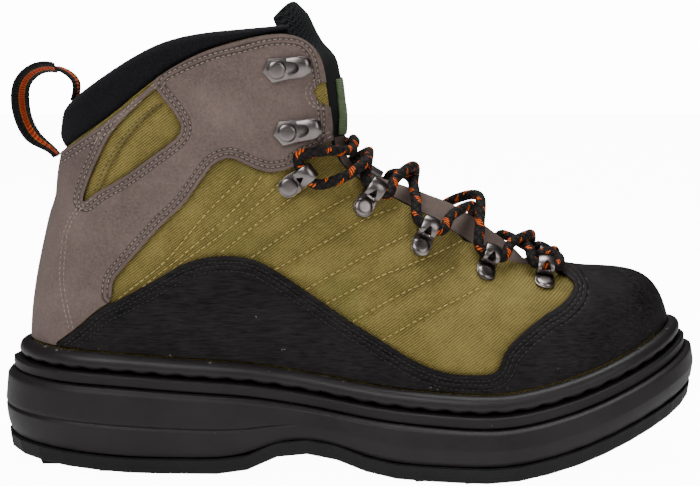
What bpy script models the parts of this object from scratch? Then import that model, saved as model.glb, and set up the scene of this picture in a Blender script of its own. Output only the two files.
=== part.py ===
# Wading boot for the right foot: stitched rubber sole, canvas and leather upper, padded collar, lace hardware.
# Metres, +Z up, +X towards the toe, +Y towards the inner side of the foot.
# The origin lies on the floor, under the flat of the heel.

import math

import bmesh
import bpy
import numpy as np
from mathutils import Matrix, Vector

for item in list(bpy.data.objects):
    bpy.data.objects.remove(item, do_unlink=True)

# Sole sizes
SOLE_LENGTH = 0.325
HEEL_SETBACK = 0.080       # from the heel's back edge to the origin, under the heel's flat
HEEL_BEVEL = 0.0050        # how far the heel's back edge lifts off the floor
BALL_WIDTH = 0.120
HEEL_WIDTH = 0.088
TOE_SWING = 0.010          # how far the toe's tip lies to the inner side
HEEL_STACK = 0.044         # floor to the block's top edge, at the heel's back
BALL_STACK = 0.0257        # the same at the ball
TOE_SPRING = 0.028
ARCH_LIFT = 0.0095
CLEAT_DEPTH = 0.0025
TREAD_THICKNESS = 0.0070
WELT_HEIGHT = 0.0055
RAND_HEIGHT = 0.0088
TREAD_LEAN = 0.0026        # how far the tread sheet's side stands back
TREAD_LIP = 0.0009
EDGE_LIP = 0.0008          # rounding of the welt's and the insole's edges
WELT_INSET = 0.0045
RAND_INSET = 0.0066
FEATHER_INSET = 0.0135     # sole edge to the upper's foot
GROOVE_DEPTH = 0.0009
INSOLE_THICKNESS = 0.004

# Upper sizes
UPPER_HEIGHT = 0.150       # welt to the top of the ankle panel
UPPER_WALL = 0.0022
OVERLAY_THICKNESS = 0.0014
COLLAR_WIDTH = 0.077
COLLAR_HEIGHT = 0.022      # how far the padded roll stands over the leather
COLLAR_PAD = 0.009
COLLAR_TUCK = 0.012        # how far the roll hangs down inside
TONGUE_THICKNESS = 0.0032

# Hardware sizes
LACE_DIAMETER = 0.0048
RIVET_DIAMETER = 0.0084
RIVET_HEIGHT = 0.0014
PLATE_THICKNESS = 0.0009
LOOP_WIDTH = 0.0072
LOOP_METAL = 0.0010
LOOP_REACH = 0.0098        # rivet to the loop's middle
HOOK_LENGTH = 0.0185
HOOK_WIDTH = 0.0100
HOOK_HEIGHT = 0.0066
WEBBING_WIDTH = 0.016
WEBBING_THICKNESS = 0.0014

# Fits
GAP = 0.0003
PLATE_LIFT = 0.0006        # a flat plate's seat on the round upper
INSOLE_LIFT = 0.0006
SOLE_GAP = 0.0006          # between the welt and what stands on it

# Steps of the meshes
SIDE_STEPS = 28            # columns from the toe's middle to the heel's middle
WALL_STEPS = 7             # rows from the rand to the top line

SMOOTH_ANGLE = math.radians(35)


# Curves and tables

def curve_through(points, closed=False, steps=12):
    # Centripetal spline through the points, as a dense line.
    line = np.asarray(points, float)
    if closed:
        ends = np.vstack([line[-1:], line, line[:2]])
    else:
        ends = np.vstack([2 * line[0] - line[1], line, 2 * line[-1] - line[-2]])
    dense = []
    for before, start, end, after in zip(ends, ends[1:], ends[2:], ends[3:]):
        span_before = max(np.linalg.norm(start - before), 1e-9) ** 0.5
        span = max(np.linalg.norm(end - start), 1e-9) ** 0.5
        span_after = max(np.linalg.norm(after - end), 1e-9) ** 0.5
        leave = (start - before) / span_before - (end - before) / (span_before + span) + (end - start) / span
        reach = (end - start) / span - (after - start) / (span + span_after) + (after - end) / span_after
        for step in range(steps):
            s = step / steps
            dense.append((2 * s**3 - 3 * s**2 + 1) * start + (s**3 - 2 * s**2 + s) * span * leave
                         + (3 * s**2 - 2 * s**3) * end + (s**3 - s**2) * span * reach)
    dense.append(line[0] if closed else line[-1])
    return np.array(dense)


def walk(line, shares):
    # Points at shares of the line's length.
    lengths = np.concatenate([[0], np.cumsum(np.linalg.norm(np.diff(line, axis=0), axis=1))])
    at = np.asarray(shares) * lengths[-1]
    return np.stack([np.interp(at, lengths, line[:, axis]) for axis in range(line.shape[1])], axis=-1)


def glide(xs, ys, at):
    # Smooth interpolation that never swings past its points.
    xs, ys = np.asarray(xs, float), np.asarray(ys, float)
    steps = np.diff(xs)
    slopes = np.diff(ys) / steps
    tangents = np.zeros(len(xs))
    tangents[0], tangents[-1] = slopes[0], slopes[-1]
    for k in range(1, len(xs) - 1):
        if slopes[k - 1] * slopes[k] > 0:
            first, second = 2 * steps[k] + steps[k - 1], steps[k] + 2 * steps[k - 1]
            tangents[k] = (first + second) / (first / slopes[k - 1] + second / slopes[k])
    at = np.clip(at, xs[0], xs[-1])
    span = np.clip(np.searchsorted(xs, at) - 1, 0, len(xs) - 2)
    width = steps[span]
    s = (at - xs[span]) / width
    return ((2 * s**3 - 3 * s**2 + 1) * ys[span] + (s**3 - 2 * s**2 + s) * width * tangents[span]
            + (3 * s**2 - 2 * s**3) * ys[span + 1] + (s**3 - s**2) * width * tangents[span + 1])


def column(table, names, name):
    return [row[names.index(name)] for row in table]


def ease(start, end, at):
    share = np.clip((at - start) / (end - start), 0, 1)
    return share * share * (3 - 2 * share)


# Materials and objects

def finish_of(name, colour, roughness, metallic=0.0):
    material = bpy.data.materials.new(name)
    material.use_nodes = True
    shader = material.node_tree.nodes["Principled BSDF"]
    shader.inputs["Base Color"].default_value = (*colour, 1.0)
    shader.inputs["Roughness"].default_value = roughness
    shader.inputs["Metallic"].default_value = metallic
    material.diffuse_color = (*colour, 1.0)
    return material


# Columns: colour, roughness, metallic.
RUBBER = ((0.030, 0.028, 0.030), 0.55)
TREAD_RUBBER = ((0.022, 0.021, 0.022), 0.70)
CANVAS = ((0.262, 0.205, 0.045), 0.85)
NUBUCK = ((0.209, 0.162, 0.138), 0.80)
GRAINED = ((0.016, 0.015, 0.015), 0.60)
NEOPRENE = ((0.012, 0.012, 0.018), 0.90)
FOOTBED = ((0.045, 0.045, 0.048), 0.95)
GUNMETAL = ((0.220, 0.195, 0.185), 0.35, 1.0)
WEBBING = ((0.020, 0.018, 0.020), 0.85)
LACE_YARN = ((0.022, 0.019, 0.020), 0.80)
LABEL_GREEN = ((0.150, 0.250, 0.080), 0.70)


def add_object(name, mesh, finish):
    thing = bpy.data.objects.new(name, mesh)
    bpy.context.collection.objects.link(thing)
    mesh.materials.clear()
    mesh.materials.append(finish_of(f"{name}_finish", *finish))
    mesh.shade_smooth()
    mesh.set_sharp_from_angle(angle=SMOOTH_ANGLE)
    return thing


def mesh_of(name, points, faces):
    mesh = bpy.data.meshes.new(name)
    mesh.from_pydata([tuple(point) for point in points], [], faces)
    work = bmesh.new()
    work.from_mesh(mesh)
    bmesh.ops.recalc_face_normals(work, faces=work.faces)
    work.to_mesh(mesh)
    work.free()
    return mesh


def hide_cutter(thing):
    thing.hide_render = True
    thing.display_type = "WIRE"


def combine(thing, other, operation):
    change = thing.modifiers.new(operation.lower(), "BOOLEAN")
    change.operation = operation
    change.object = other
    change.solver = "EXACT"
    hide_cutter(other)


def fuse(name, meshes):
    # One mesh from several that overlap.
    things = [bpy.data.objects.new(name, mesh) for mesh in meshes]
    for thing in things:
        bpy.context.collection.objects.link(thing)
    for other in things[1:]:
        combine(things[0], other, "UNION")
    view = bpy.context.evaluated_depsgraph_get()
    result = bpy.data.meshes.new_from_object(things[0].evaluated_get(view))
    for thing in things:
        bpy.data.objects.remove(thing, do_unlink=True)
    return result


# Heights along the sole

RISE_NAMES = ("along", "heel", "arch", "toe", "wedge")
RISE_TABLE = (
    (0.000, 1.00, 0.00, 0.00, 1.00),
    (0.060, 0.80, 0.00, 0.00, 0.96),
    (0.120, 0.45, 0.00, 0.00, 0.90),
    (0.170, 0.14, 0.00, 0.00, 0.85),
    (0.210, 0.00, 0.00, 0.00, 0.80),
    (0.262, 0.00, 0.00, 0.00, 0.73),
    (0.338, 0.00, 0.00, 0.00, 0.65),
    (0.372, 0.00, 0.45, 0.00, 0.60),
    (0.406, 0.00, 0.90, 0.00, 0.50),
    (0.438, 0.00, 1.00, 0.00, 0.42),
    (0.471, 0.00, 0.86, 0.00, 0.32),
    (0.514, 0.00, 0.36, 0.00, 0.19),
    (0.550, 0.00, 0.10, 0.00, 0.11),
    (0.578, 0.00, 0.00, 0.00, 0.07),
    (0.692, 0.00, 0.00, 0.00, 0.00),
    (0.723, 0.00, 0.00, 0.04, 0.00),
    (0.757, 0.00, 0.00, 0.12, 0.00),
    (0.812, 0.00, 0.00, 0.28, 0.00),
    (0.846, 0.00, 0.00, 0.41, 0.00),
    (0.892, 0.00, 0.00, 0.60, 0.00),
    (0.945, 0.00, 0.00, 0.81, 0.02),
    (1.000, 0.00, 0.00, 1.00, 0.07),
)


def station(along):
    return along * SOLE_LENGTH - HEEL_SETBACK


def rise_share(name, x):
    along = (np.asarray(x, float) + HEEL_SETBACK) / SOLE_LENGTH
    return glide(column(RISE_TABLE, RISE_NAMES, "along"), column(RISE_TABLE, RISE_NAMES, name), along)


def toe_lift(x):
    return TOE_SPRING * rise_share("toe", x)


def cleat_foot(x):
    return toe_lift(x) + ARCH_LIFT * rise_share("arch", x) + HEEL_BEVEL * rise_share("heel", x)


def tread_bottom(x):
    return cleat_foot(x) + CLEAT_DEPTH


def tread_top(x):
    return tread_bottom(x) + TREAD_THICKNESS


def block_top(x):
    return toe_lift(x) + BALL_STACK + (HEEL_STACK - BALL_STACK) * rise_share("wedge", x)


def welt_top(x):
    return block_top(x) + WELT_HEIGHT


def rand_top(x):
    return welt_top(x) + RAND_HEIGHT


# Outline of the sole, seen from above

EDGE_NAMES = ("along", "outer", "inner")
EDGE_TABLE = (
    (0.031, 0.295, 0.273),
    (0.094, 0.466, 0.443),
    (0.188, 0.511, 0.489),
    (0.313, 0.519, 0.463),
    (0.438, 0.468, 0.371),
    (0.563, 0.483, 0.388),
    (0.688, 0.525, 0.458),
    (0.781, 0.508, 0.483),
    (0.875, 0.417, 0.450),
    (0.938, 0.283, 0.375),
    (0.975, 0.142, 0.275),
)
OUTER, INNER = -1, 1
CURVE_STEPS = 16


WIDENING = (0.25, 0.65)    # where the sole grows from the heel's width to the ball's


def sole_width(along):
    return HEEL_WIDTH + (BALL_WIDTH - HEEL_WIDTH) * ease(*WIDENING, along)


def edge_point(row, side):
    along = row[0]
    share = row[EDGE_NAMES.index("outer" if side == OUTER else "inner")]
    return (station(along), side * share * sole_width(along))


OUTLINE = curve_through(
    [(station(1), TOE_SWING)] + [edge_point(row, OUTER) for row in reversed(EDGE_TABLE)]
    + [(station(0), 0.0)] + [edge_point(row, INNER) for row in EDGE_TABLE],
    closed=True, steps=CURVE_STEPS)
HALF = (len(EDGE_TABLE) + 1) * CURVE_STEPS
COLUMN_SHARES = np.linspace(0, 1, SIDE_STEPS + 1)


def plan_line(side, inset):
    # Half of the outline, from the toe's middle to the heel's middle, moved inwards.
    line = OUTLINE[:HALF + 1] if side == OUTER else OUTLINE[HALF:][::-1]
    ahead = np.gradient(line, axis=0)
    ahead[0], ahead[-1] = (0, side), (0, -side)
    ahead /= np.linalg.norm(ahead, axis=1)[:, None]
    inwards = np.stack([-ahead[:, 1], ahead[:, 0]], axis=1) * side
    return line + inwards * inset, -inwards


def edge_ring(inset, height):
    # A closed ring of points round the sole, at a height that is a function of x.
    halves = [walk(plan_line(side, inset)[0], COLUMN_SHARES) for side in (OUTER, INNER)]
    plan = np.vstack([halves[0], halves[1][-2:0:-1]])
    return np.column_stack([plan, height(plan[:, 0])])


def ring_faces(first, second, count):
    return [(first + k, first + (k + 1) % count, second + (k + 1) % count, second + k) for k in range(count)]


def cap_faces(start, count):
    # Strips across a ring, from its outer half to its inner half.
    half = count // 2
    faces = [(start, start + 1, start + count - 1)]
    for k in range(1, half - 1):
        faces.append((start + k, start + k + 1, start + count - k - 1, start + count - k))
    faces.append((start + half - 1, start + half, start + half + 1))
    return faces


def stack_rings(name, rings):
    # A solid from rings, closed by a cap below and a cap above.
    count = len(rings[0])
    faces = cap_faces(0, count) + cap_faces((len(rings) - 1) * count, count)
    for level in range(len(rings) - 1):
        faces += ring_faces(level * count, (level + 1) * count, count)
    return mesh_of(name, np.vstack(rings), faces)


def hoop(name, rings):
    # A band whose section is the closed loop of the rings.
    count = len(rings[0])
    faces = []
    for level in range(len(rings)):
        faces += ring_faces(level * count, (level + 1) % len(rings) * count, count)
    return mesh_of(name, np.vstack(rings), faces)


# Sole

# Columns: along, across, length, width, turn.
CLEAT_TABLE = (
    (0.065, 0.00, 0.062, 0.34, 0),
    (0.085, -0.27, 0.050, 0.13, 18),
    (0.085, 0.27, 0.050, 0.13, -18),
    (0.165, -0.30, 0.045, 0.16, 12),
    (0.165, 0.30, 0.045, 0.16, -12),
    (0.165, 0.00, 0.045, 0.22, 0),
    (0.246, -0.30, 0.045, 0.16, 12),
    (0.246, 0.28, 0.045, 0.16, -12),
    (0.246, 0.00, 0.045, 0.22, 0),
    (0.305, -0.28, 0.040, 0.16, 12),
    (0.305, 0.22, 0.040, 0.16, -12),
    (0.530, -0.26, 0.042, 0.16, 16),
    (0.530, 0.18, 0.042, 0.16, -16),
    (0.600, -0.33, 0.040, 0.13, 16),
    (0.600, -0.06, 0.040, 0.20, 0),
    (0.600, 0.22, 0.040, 0.15, -16),
    (0.668, -0.36, 0.040, 0.12, 16),
    (0.668, -0.12, 0.040, 0.17, 8),
    (0.668, 0.10, 0.040, 0.15, -8),
    (0.668, 0.30, 0.040, 0.11, -16),
    (0.736, -0.36, 0.040, 0.12, 16),
    (0.736, -0.12, 0.040, 0.17, 8),
    (0.736, 0.11, 0.040, 0.15, -8),
    (0.736, 0.33, 0.040, 0.11, -16),
    (0.804, -0.33, 0.040, 0.12, 20),
    (0.804, -0.10, 0.040, 0.17, 8),
    (0.804, 0.12, 0.040, 0.15, -8),
    (0.804, 0.34, 0.040, 0.11, -20),
    (0.870, -0.22, 0.038, 0.15, 24),
    (0.870, 0.03, 0.038, 0.19, 0),
    (0.870, 0.28, 0.038, 0.15, -24),
    (0.935, -0.06, 0.034, 0.15, 24),
    (0.935, 0.19, 0.034, 0.15, -24),
)
CLEAT_DRAFT = 0.86         # a cleat's foot as a share of its root


def cleat_mesh(row):
    along, across, length, width, turn = row
    middle = Vector((station(along), across * sole_width(along), 0))
    half = Vector((length * SOLE_LENGTH / 2, width * sole_width(along) / 2))
    turned = Matrix.Rotation(math.radians(turn), 2)
    points = []
    for share, sunk in ((CLEAT_DRAFT, 0.0), (1.0, CLEAT_DEPTH + TREAD_THICKNESS / 2)):
        for x, y in ((-1, -1), (1, -1), (1, 1), (-1, 1)):
            corner = turned @ Vector((x * half.x * share, y * half.y * share))
            place = (middle.x + corner.x, middle.y + corner.y)
            points.append((*place, float(cleat_foot(place[0])) + sunk))
    faces = [(3, 2, 1, 0), (4, 5, 6, 7)] + [(k, (k + 1) % 4, 4 + (k + 1) % 4, 4 + k) for k in range(4)]
    return mesh_of("cleat", points, faces)


def make_outsole():
    sheet = stack_rings("outsole", [
        edge_ring(TREAD_LEAN + TREAD_LIP, tread_bottom),
        edge_ring(TREAD_LEAN, lambda x: tread_bottom(x) + TREAD_LIP),
        edge_ring(TREAD_LEAN - TREAD_LIP, lambda x: tread_top(x) - TREAD_LIP / 2),
        edge_ring(TREAD_LEAN, tread_top),
    ])
    cleats = [cleat_mesh(row) for row in CLEAT_TABLE]
    return add_object("outsole", fuse("outsole", [sheet] + cleats), TREAD_RUBBER)


# Columns: up, inset, groove.
BLOCK_TABLE = (
    (0.00, 0.0030, 0.0),
    (0.14, 0.0008, 0.0),
    (0.42, 0.0001, 0.0),
    (0.46, 0.0001, 1.0),
    (0.50, 0.0000, 0.0),
    (0.92, 0.0012, 0.0),
    (1.00, 0.0030, 0.0),
)
GROOVE_END = 0.42          # share of the sole's length where the side groove runs out
GROOVE_FADE = 0.03


def make_midsole():
    rings = []
    for up, inset, groove in BLOCK_TABLE:
        def height(x, up=up):
            foot = tread_top(x) + GAP
            return foot + up * (block_top(x) - foot)
        ring = edge_ring(inset, height)
        if groove:
            cut = edge_ring(inset + GROOVE_DEPTH, height)
            fade = 1 - ease(station(GROOVE_END - GROOVE_FADE), station(GROOVE_END), ring[:, 0])
            ring = ring + (cut - ring) * fade[:, None]
        rings.append(ring)
    return add_object("midsole", stack_rings("midsole", rings), RUBBER)


def make_welt():
    rings = [
        edge_ring(WELT_INSET + EDGE_LIP, lambda x: block_top(x) + GAP),
        edge_ring(WELT_INSET, lambda x: block_top(x) + GAP + EDGE_LIP),
        edge_ring(WELT_INSET, lambda x: welt_top(x) - EDGE_LIP),
        edge_ring(WELT_INSET + EDGE_LIP, welt_top),
    ]
    return add_object("welt", stack_rings("welt", rings), RUBBER)


# Columns: up, outwards.
RAND_SECTION = (
    (0.00, 0.72),
    (0.14, 0.92),
    (0.40, 1.00),
    (0.78, 0.86),
    (1.00, 0.42),
)


def make_rand():
    inner = FEATHER_INSET - GAP
    depth = inner - RAND_INSET

    def level(up):
        return lambda x: welt_top(x) + SOLE_GAP + up * (RAND_HEIGHT - SOLE_GAP)

    rings = [edge_ring(inner, level(0.0))]
    rings += [edge_ring(inner - out * depth, level(up)) for up, out in RAND_SECTION]
    rings.append(edge_ring(inner, level(1.0)))
    return add_object("rand", hoop("rand", rings), RUBBER)


def make_insole():
    inset = FEATHER_INSET + UPPER_WALL + 2 * GAP
    rings = [
        edge_ring(inset, lambda x: welt_top(x) + INSOLE_LIFT),
        edge_ring(inset, lambda x: welt_top(x) + INSOLE_LIFT + INSOLE_THICKNESS - EDGE_LIP),
        edge_ring(inset + EDGE_LIP, lambda x: welt_top(x) + INSOLE_LIFT + INSOLE_THICKNESS),
    ]
    return add_object("insole", stack_rings("insole", rings), FOOTBED)


# Upper: each column runs from the foot line up to the top line, which is the ridge of the closed toe,
# then the throat's edge, then the collar line.
# foot: share of the foot line. along, half, up: the top point. rise, lean: the wall's lower handle.
# ahead, out, drop: its upper handle. Lengths along are shares of SOLE_LENGTH, half and out of COLLAR_WIDTH / 2,
# the rest of UPPER_HEIGHT.
WALL_NAMES = ("foot", "along", "half", "up", "rise", "lean", "ahead", "out", "drop")
WALL_TABLE = (
    (0.000, 0.877, 0.00, 0.269, 0.113, 0.016, 0.052, 0.00, 0.000),
    (0.056, 0.865, 0.00, 0.282, 0.118, 0.016, 0.044, 0.26, 0.000),
    (0.111, 0.848, 0.00, 0.300, 0.128, 0.018, 0.028, 0.52, 0.000),
    (0.167, 0.827, 0.00, 0.319, 0.142, 0.020, 0.012, 0.70, 0.000),
    (0.222, 0.800, 0.00, 0.342, 0.155, 0.022, 0.002, 0.78, 0.000),
    (0.278, 0.757, 0.31, 0.372, 0.160, 0.022, 0.000, 0.62, 0.030),
    (0.333, 0.714, 0.39, 0.416, 0.173, 0.022, 0.000, 0.54, 0.055),
    (0.389, 0.655, 0.47, 0.493, 0.200, 0.022, 0.000, 0.47, 0.095),
    (0.444, 0.600, 0.53, 0.562, 0.227, 0.022, 0.000, 0.41, 0.133),
    (0.500, 0.551, 0.58, 0.614, 0.240, 0.026, 0.000, 0.34, 0.173),
    (0.556, 0.509, 0.64, 0.651, 0.250, 0.029, 0.000, 0.28, 0.200),
    (0.611, 0.480, 0.71, 0.705, 0.253, 0.029, 0.000, 0.23, 0.220),
    (0.650, 0.470, 0.765, 0.765, 0.253, 0.028, 0.000, 0.18, 0.240),
    (0.690, 0.473, 0.805, 0.846, 0.253, 0.027, 0.000, 0.13, 0.240),
    (0.720, 0.464, 0.845, 0.950, 0.250, 0.027, 0.000, 0.08, 0.240),
    (0.745, 0.460, 0.870, 1.010, 0.245, 0.027, 0.000, 0.05, 0.235),
    (0.765, 0.445, 0.895, 1.062, 0.240, 0.026, 0.000, 0.03, 0.233),
    (0.790, 0.410, 0.935, 1.062, 0.233, 0.025, 0.000, 0.00, 0.230),
    (0.820, 0.360, 0.985, 1.021, 0.227, 0.024, 0.000, -0.03, 0.227),
    (0.850, 0.305, 1.000, 0.980, 0.220, 0.022, 0.000, -0.06, 0.227),
    (0.880, 0.255, 0.985, 0.925, 0.213, 0.021, 0.000, -0.08, 0.227),
    (0.910, 0.206, 0.910, 0.820, 0.207, 0.020, 0.000, -0.09, 0.213),
    (0.940, 0.151, 0.730, 0.725, 0.200, 0.021, 0.000, -0.08, 0.200),
    (0.970, 0.105, 0.420, 0.660, 0.193, 0.024, 0.000, -0.04, 0.190),
    (1.000, 0.087, 0.000, 0.628, 0.187, 0.026, 0.000, 0.00, 0.183),
)
THROAT_FOOT = 0.222        # where the closed ridge ends and the throat begins
THROAT_FADE = 0.1
SLANT = 0.25               # how far the handles follow a column's slant
MIDDLE_TURN = (0.36, 0.86) # where the middle line swings towards the toe's tip


def middle_y(x):
    along = (np.asarray(x, float) + HEEL_SETBACK) / SOLE_LENGTH
    return TOE_SWING * ease(*MIDDLE_TURN, along)


def wall_share(name, foot):
    return glide(column(WALL_TABLE, WALL_NAMES, "foot"), column(WALL_TABLE, WALL_NAMES, name), foot)


def wall_columns(side, feet):
    # The four control points of each column.
    feet = np.asarray(feet, float)
    line, outwards = plan_line(side, FEATHER_INSET)
    plan, push = walk(line, feet), walk(np.column_stack([line, outwards]), feet)[:, 2:]
    push /= np.linalg.norm(push, axis=1)[:, None]
    base = np.column_stack([plan, rand_top(plan[:, 0])])
    top_x = station(wall_share("along", feet))
    half = wall_share("half", feet) * COLLAR_WIDTH / 2
    top_z = welt_top(top_x) + wall_share("up", feet) * UPPER_HEIGHT
    top = np.column_stack([top_x, middle_y(top_x) + side * half, top_z])
    slant = SLANT * (top[:, 0] - base[:, 0])
    lean = wall_share("lean", feet) * UPPER_HEIGHT
    low = base + np.column_stack([slant + push[:, 0] * lean, push[:, 1] * lean,
                                  wall_share("rise", feet) * UPPER_HEIGHT])
    closed = 1 - ease(THROAT_FOOT, THROAT_FOOT + THROAT_FADE, feet)
    high = top + np.column_stack([
        wall_share("ahead", feet) * SOLE_LENGTH - slant * (1 - closed),
        side * wall_share("out", feet) * COLLAR_WIDTH / 2,
        -wall_share("drop", feet) * UPPER_HEIGHT])
    return base, low, high, top


def wall_points(side, feet, heights):
    # Grid of points: a row for each foot share, a column for each height share.
    controls = wall_columns(side, feet)
    t = np.asarray(heights, float)
    weights = ((1 - t) ** 3, 3 * t * (1 - t) ** 2, 3 * t**2 * (1 - t), t**3)
    return sum(control[:, None, :] * weight[None, :, None] for control, weight in zip(controls, weights))


class WallGrid:
    # The upper's outer surface as one grid: outer side from toe to heel, then inner side back to the toe.

    def __init__(self):
        heights = np.linspace(0, 1, WALL_STEPS + 1)
        halves = []
        for side in (OUTER, INNER):
            wall = wall_points(side, COLUMN_SHARES, heights)
            sill = wall[:, :1].copy()
            sill[:, 0, 2] = welt_top(sill[:, 0, 0]) + SOLE_GAP
            halves.append(np.concatenate([sill, wall], axis=1))
        self.rows = WALL_STEPS + 2
        self.columns = 2 * SIDE_STEPS
        self.points = np.concatenate([halves[0], halves[1][-2:0:-1]], axis=0)
        self.ridge = int(np.floor(THROAT_FOOT * SIDE_STEPS))
        for k in range(1, self.ridge + 1):
            joined = (self.points[k, -1] + self.points[-k, -1]) / 2
            self.points[k, -1] = self.points[-k, -1] = joined
        self.normals = self.surface_normals()

    def index(self, column, row):
        # The two halves share the ridge's points.
        column %= self.columns
        if row == self.rows - 1 and self.columns - self.ridge <= column:
            column = self.columns - column
        return column * self.rows + row

    def triangles(self):
        faces = []
        for column in range(self.columns):
            for row in range(self.rows - 1):
                a, b = self.index(column, row), self.index(column + 1, row)
                c, d = self.index(column + 1, row + 1), self.index(column, row + 1)
                pair = ((a, b, c), (a, c, d)) if column < SIDE_STEPS else ((a, b, d), (b, c, d))
                faces += [face for face in pair if len(set(face)) == 3]
        return faces

    def surface_normals(self):
        flat = self.points.reshape(-1, 3)
        normals = np.zeros_like(flat)
        for a, b, c in self.triangles():
            across = np.cross(flat[b] - flat[a], flat[c] - flat[a])
            for corner in (a, b, c):
                normals[corner] += across
        lengths = np.linalg.norm(normals, axis=1)
        normals[lengths > 0] /= lengths[lengths > 0][:, None]
        for k in range(1, self.ridge + 1):
            normals[(self.columns - k) * self.rows + self.rows - 1] = normals[k * self.rows + self.rows - 1]
        grid = normals.reshape(self.points.shape)
        outwards = self.points[SIDE_STEPS // 2, 3] - self.points[-SIDE_STEPS // 2, 3]
        if np.dot(grid[SIDE_STEPS // 2, 3], outwards) < 0:
            grid = -grid
        return grid

    def offset(self, distance):
        return self.points + self.normals * distance

    def shell(self, name, nearer, farther, first_row=0):
        # A closed wall between two offsets of the surface, from a row up to the top line.
        layers = [self.offset(farther).reshape(-1, 3), self.offset(nearer).reshape(-1, 3)]
        size = len(layers[0])
        points = np.vstack(layers)
        sheet = [face for face in self.triangles()
                 if all(corner % self.rows >= first_row for corner in face)]
        faces = list(sheet) + [(c + size, b + size, a + size) for a, b, c in sheet]
        for column in range(self.columns):
            faces += self.rim(column, first_row, size)
            if self.ridge <= column < self.columns - self.ridge:
                faces += self.rim(column, self.rows - 1, size)
        used = sorted({corner for face in faces for corner in face})
        number = {corner: k for k, corner in enumerate(used)}
        return mesh_of(name, points[used], [tuple(number[corner] for corner in face) for face in faces])

    def rim(self, column, row, size):
        a, b = self.index(column, row), self.index(column + 1, row)
        return [(a, b, b + size), (a, b + size, a + size)]


WALL = WallGrid()


def side_point(along, up):
    # A point of the side view: along the sole, and up from the welt.
    x = station(along)
    return x, float(welt_top(x)) + up * UPPER_HEIGHT


# The search for a place on the wall: its grid of foot and height shares, then its steps.
SEARCH_FEET = (0.15, 0.98, 60)
SEARCH_HEIGHTS = (0.02, 0.98, 40)
SEARCH_ROUNDS = 8
SEARCH_REACH = (0.03, 0.05)
SLOPE_STEP = 1e-4


def surface_at(side, along, up):
    # Where the side view's point lies on the upper: its place and the way out.
    x, z = side_point(along, up)
    feet, heights = np.linspace(*SEARCH_FEET), np.linspace(*SEARCH_HEIGHTS)
    grid = wall_points(side, feet, heights)
    misses = np.hypot(grid[..., 0] - x, grid[..., 2] - z)
    foot_at, height_at = np.unravel_index(np.argmin(misses), misses.shape)
    foot, height = feet[foot_at], heights[height_at]
    for _ in range(SEARCH_ROUNDS):
        here = wall_points(side, [foot], [height])[0, 0]
        by_foot = (wall_points(side, [foot + SLOPE_STEP], [height])[0, 0] - here) / SLOPE_STEP
        by_height = (wall_points(side, [foot], [height + SLOPE_STEP])[0, 0] - here) / SLOPE_STEP
        slopes = np.array([[by_foot[0], by_height[0]], [by_foot[2], by_height[2]]])
        moves = np.linalg.solve(slopes, [x - here[0], z - here[2]])
        foot_move, height_move = (np.clip(move, -reach, reach) for move, reach in zip(moves, SEARCH_REACH))
        foot, height = foot + foot_move, height + height_move
    outwards = Vector(np.cross(by_foot, by_height)).normalized()
    if outwards.y * side < 0:
        outwards.negate()
    return Vector(here), outwards


def make_upper():
    return add_object("upper", WALL.shell("upper", -UPPER_WALL, 0.0), CANVAS)


# Overlays: a shell just outside the upper, cut to an outline of the side view

WAVE = (
    (0.091, 0.068), (0.123, 0.126), (0.156, 0.190), (0.179, 0.218), (0.233, 0.291), (0.273, 0.346),
    (0.314, 0.372), (0.362, 0.374), (0.395, 0.349), (0.437, 0.303), (0.494, 0.240), (0.543, 0.192),
    (0.587, 0.144), (0.620, 0.121), (0.654, 0.115),
)
CAP_EDGE = (
    (0.695, 0.124), (0.709, 0.179), (0.733, 0.221), (0.762, 0.251), (0.791, 0.267), (0.808, 0.286),
    (0.813, 0.302), (0.805, 0.324), (0.791, 0.347),
)
QUARTER_EDGE = (
    (0.171, 0.235), (0.174, 0.277), (0.191, 0.326), (0.218, 0.396), (0.243, 0.458), (0.273, 0.525),
    (0.301, 0.611), (0.315, 0.648), (0.334, 0.668), (0.351, 0.659), (0.370, 0.645), (0.390, 0.639),
    (0.408, 0.649), (0.421, 0.664), (0.431, 0.690), (0.455, 0.719), (0.469, 0.749), (0.500, 0.790),
)
WINDOW = (
    (0.239, 0.857), (0.209, 0.799), (0.173, 0.711), (0.155, 0.639), (0.143, 0.584), (0.132, 0.504),
    (0.156, 0.542), (0.189, 0.587), (0.232, 0.660), (0.253, 0.696), (0.267, 0.725), (0.271, 0.751),
    (0.261, 0.794), (0.242, 0.846),
)
FAR_BACK, FAR_AHEAD, FAR_UP = -0.15, 1.15, 1.5   # places well outside the boot, in the same shares
PANEL_LEAN = 0.05
FOOT_STEPS = 30


def prism(name, outline):
    # The outline of the side view, drawn through the whole boot.
    reach = BALL_WIDTH
    count = len(outline)
    points = [(x, y, z) for y in (-reach, reach) for x, z in outline]
    faces = [tuple(range(count)), tuple(range(2 * count - 1, count - 1, -1))]
    faces += [(k, (k + 1) % count, count + (k + 1) % count, count + k) for k in range(count)]
    cutter = bpy.data.objects.new(name, mesh_of(name, points, faces))
    bpy.context.collection.objects.link(cutter)
    hide_cutter(cutter)
    return cutter


def rand_line(first, last):
    # The lower edge of the overlays, just over the rand.
    xs = np.linspace(station(first), station(last), FOOT_STEPS)
    return [(x, float(rand_top(x)) + 2 * GAP) for x in xs]


def wave_over_rand():
    # The points of the wave that stand clear of the overlays' lower edge.
    return [(along, up) for along, up in WAVE
            if side_point(along, up)[1] > float(rand_top(station(along))) + 3 * GAP]


def overlay_shell(name):
    return WALL.shell(name, GAP, GAP + OVERLAY_THICKNESS)


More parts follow.
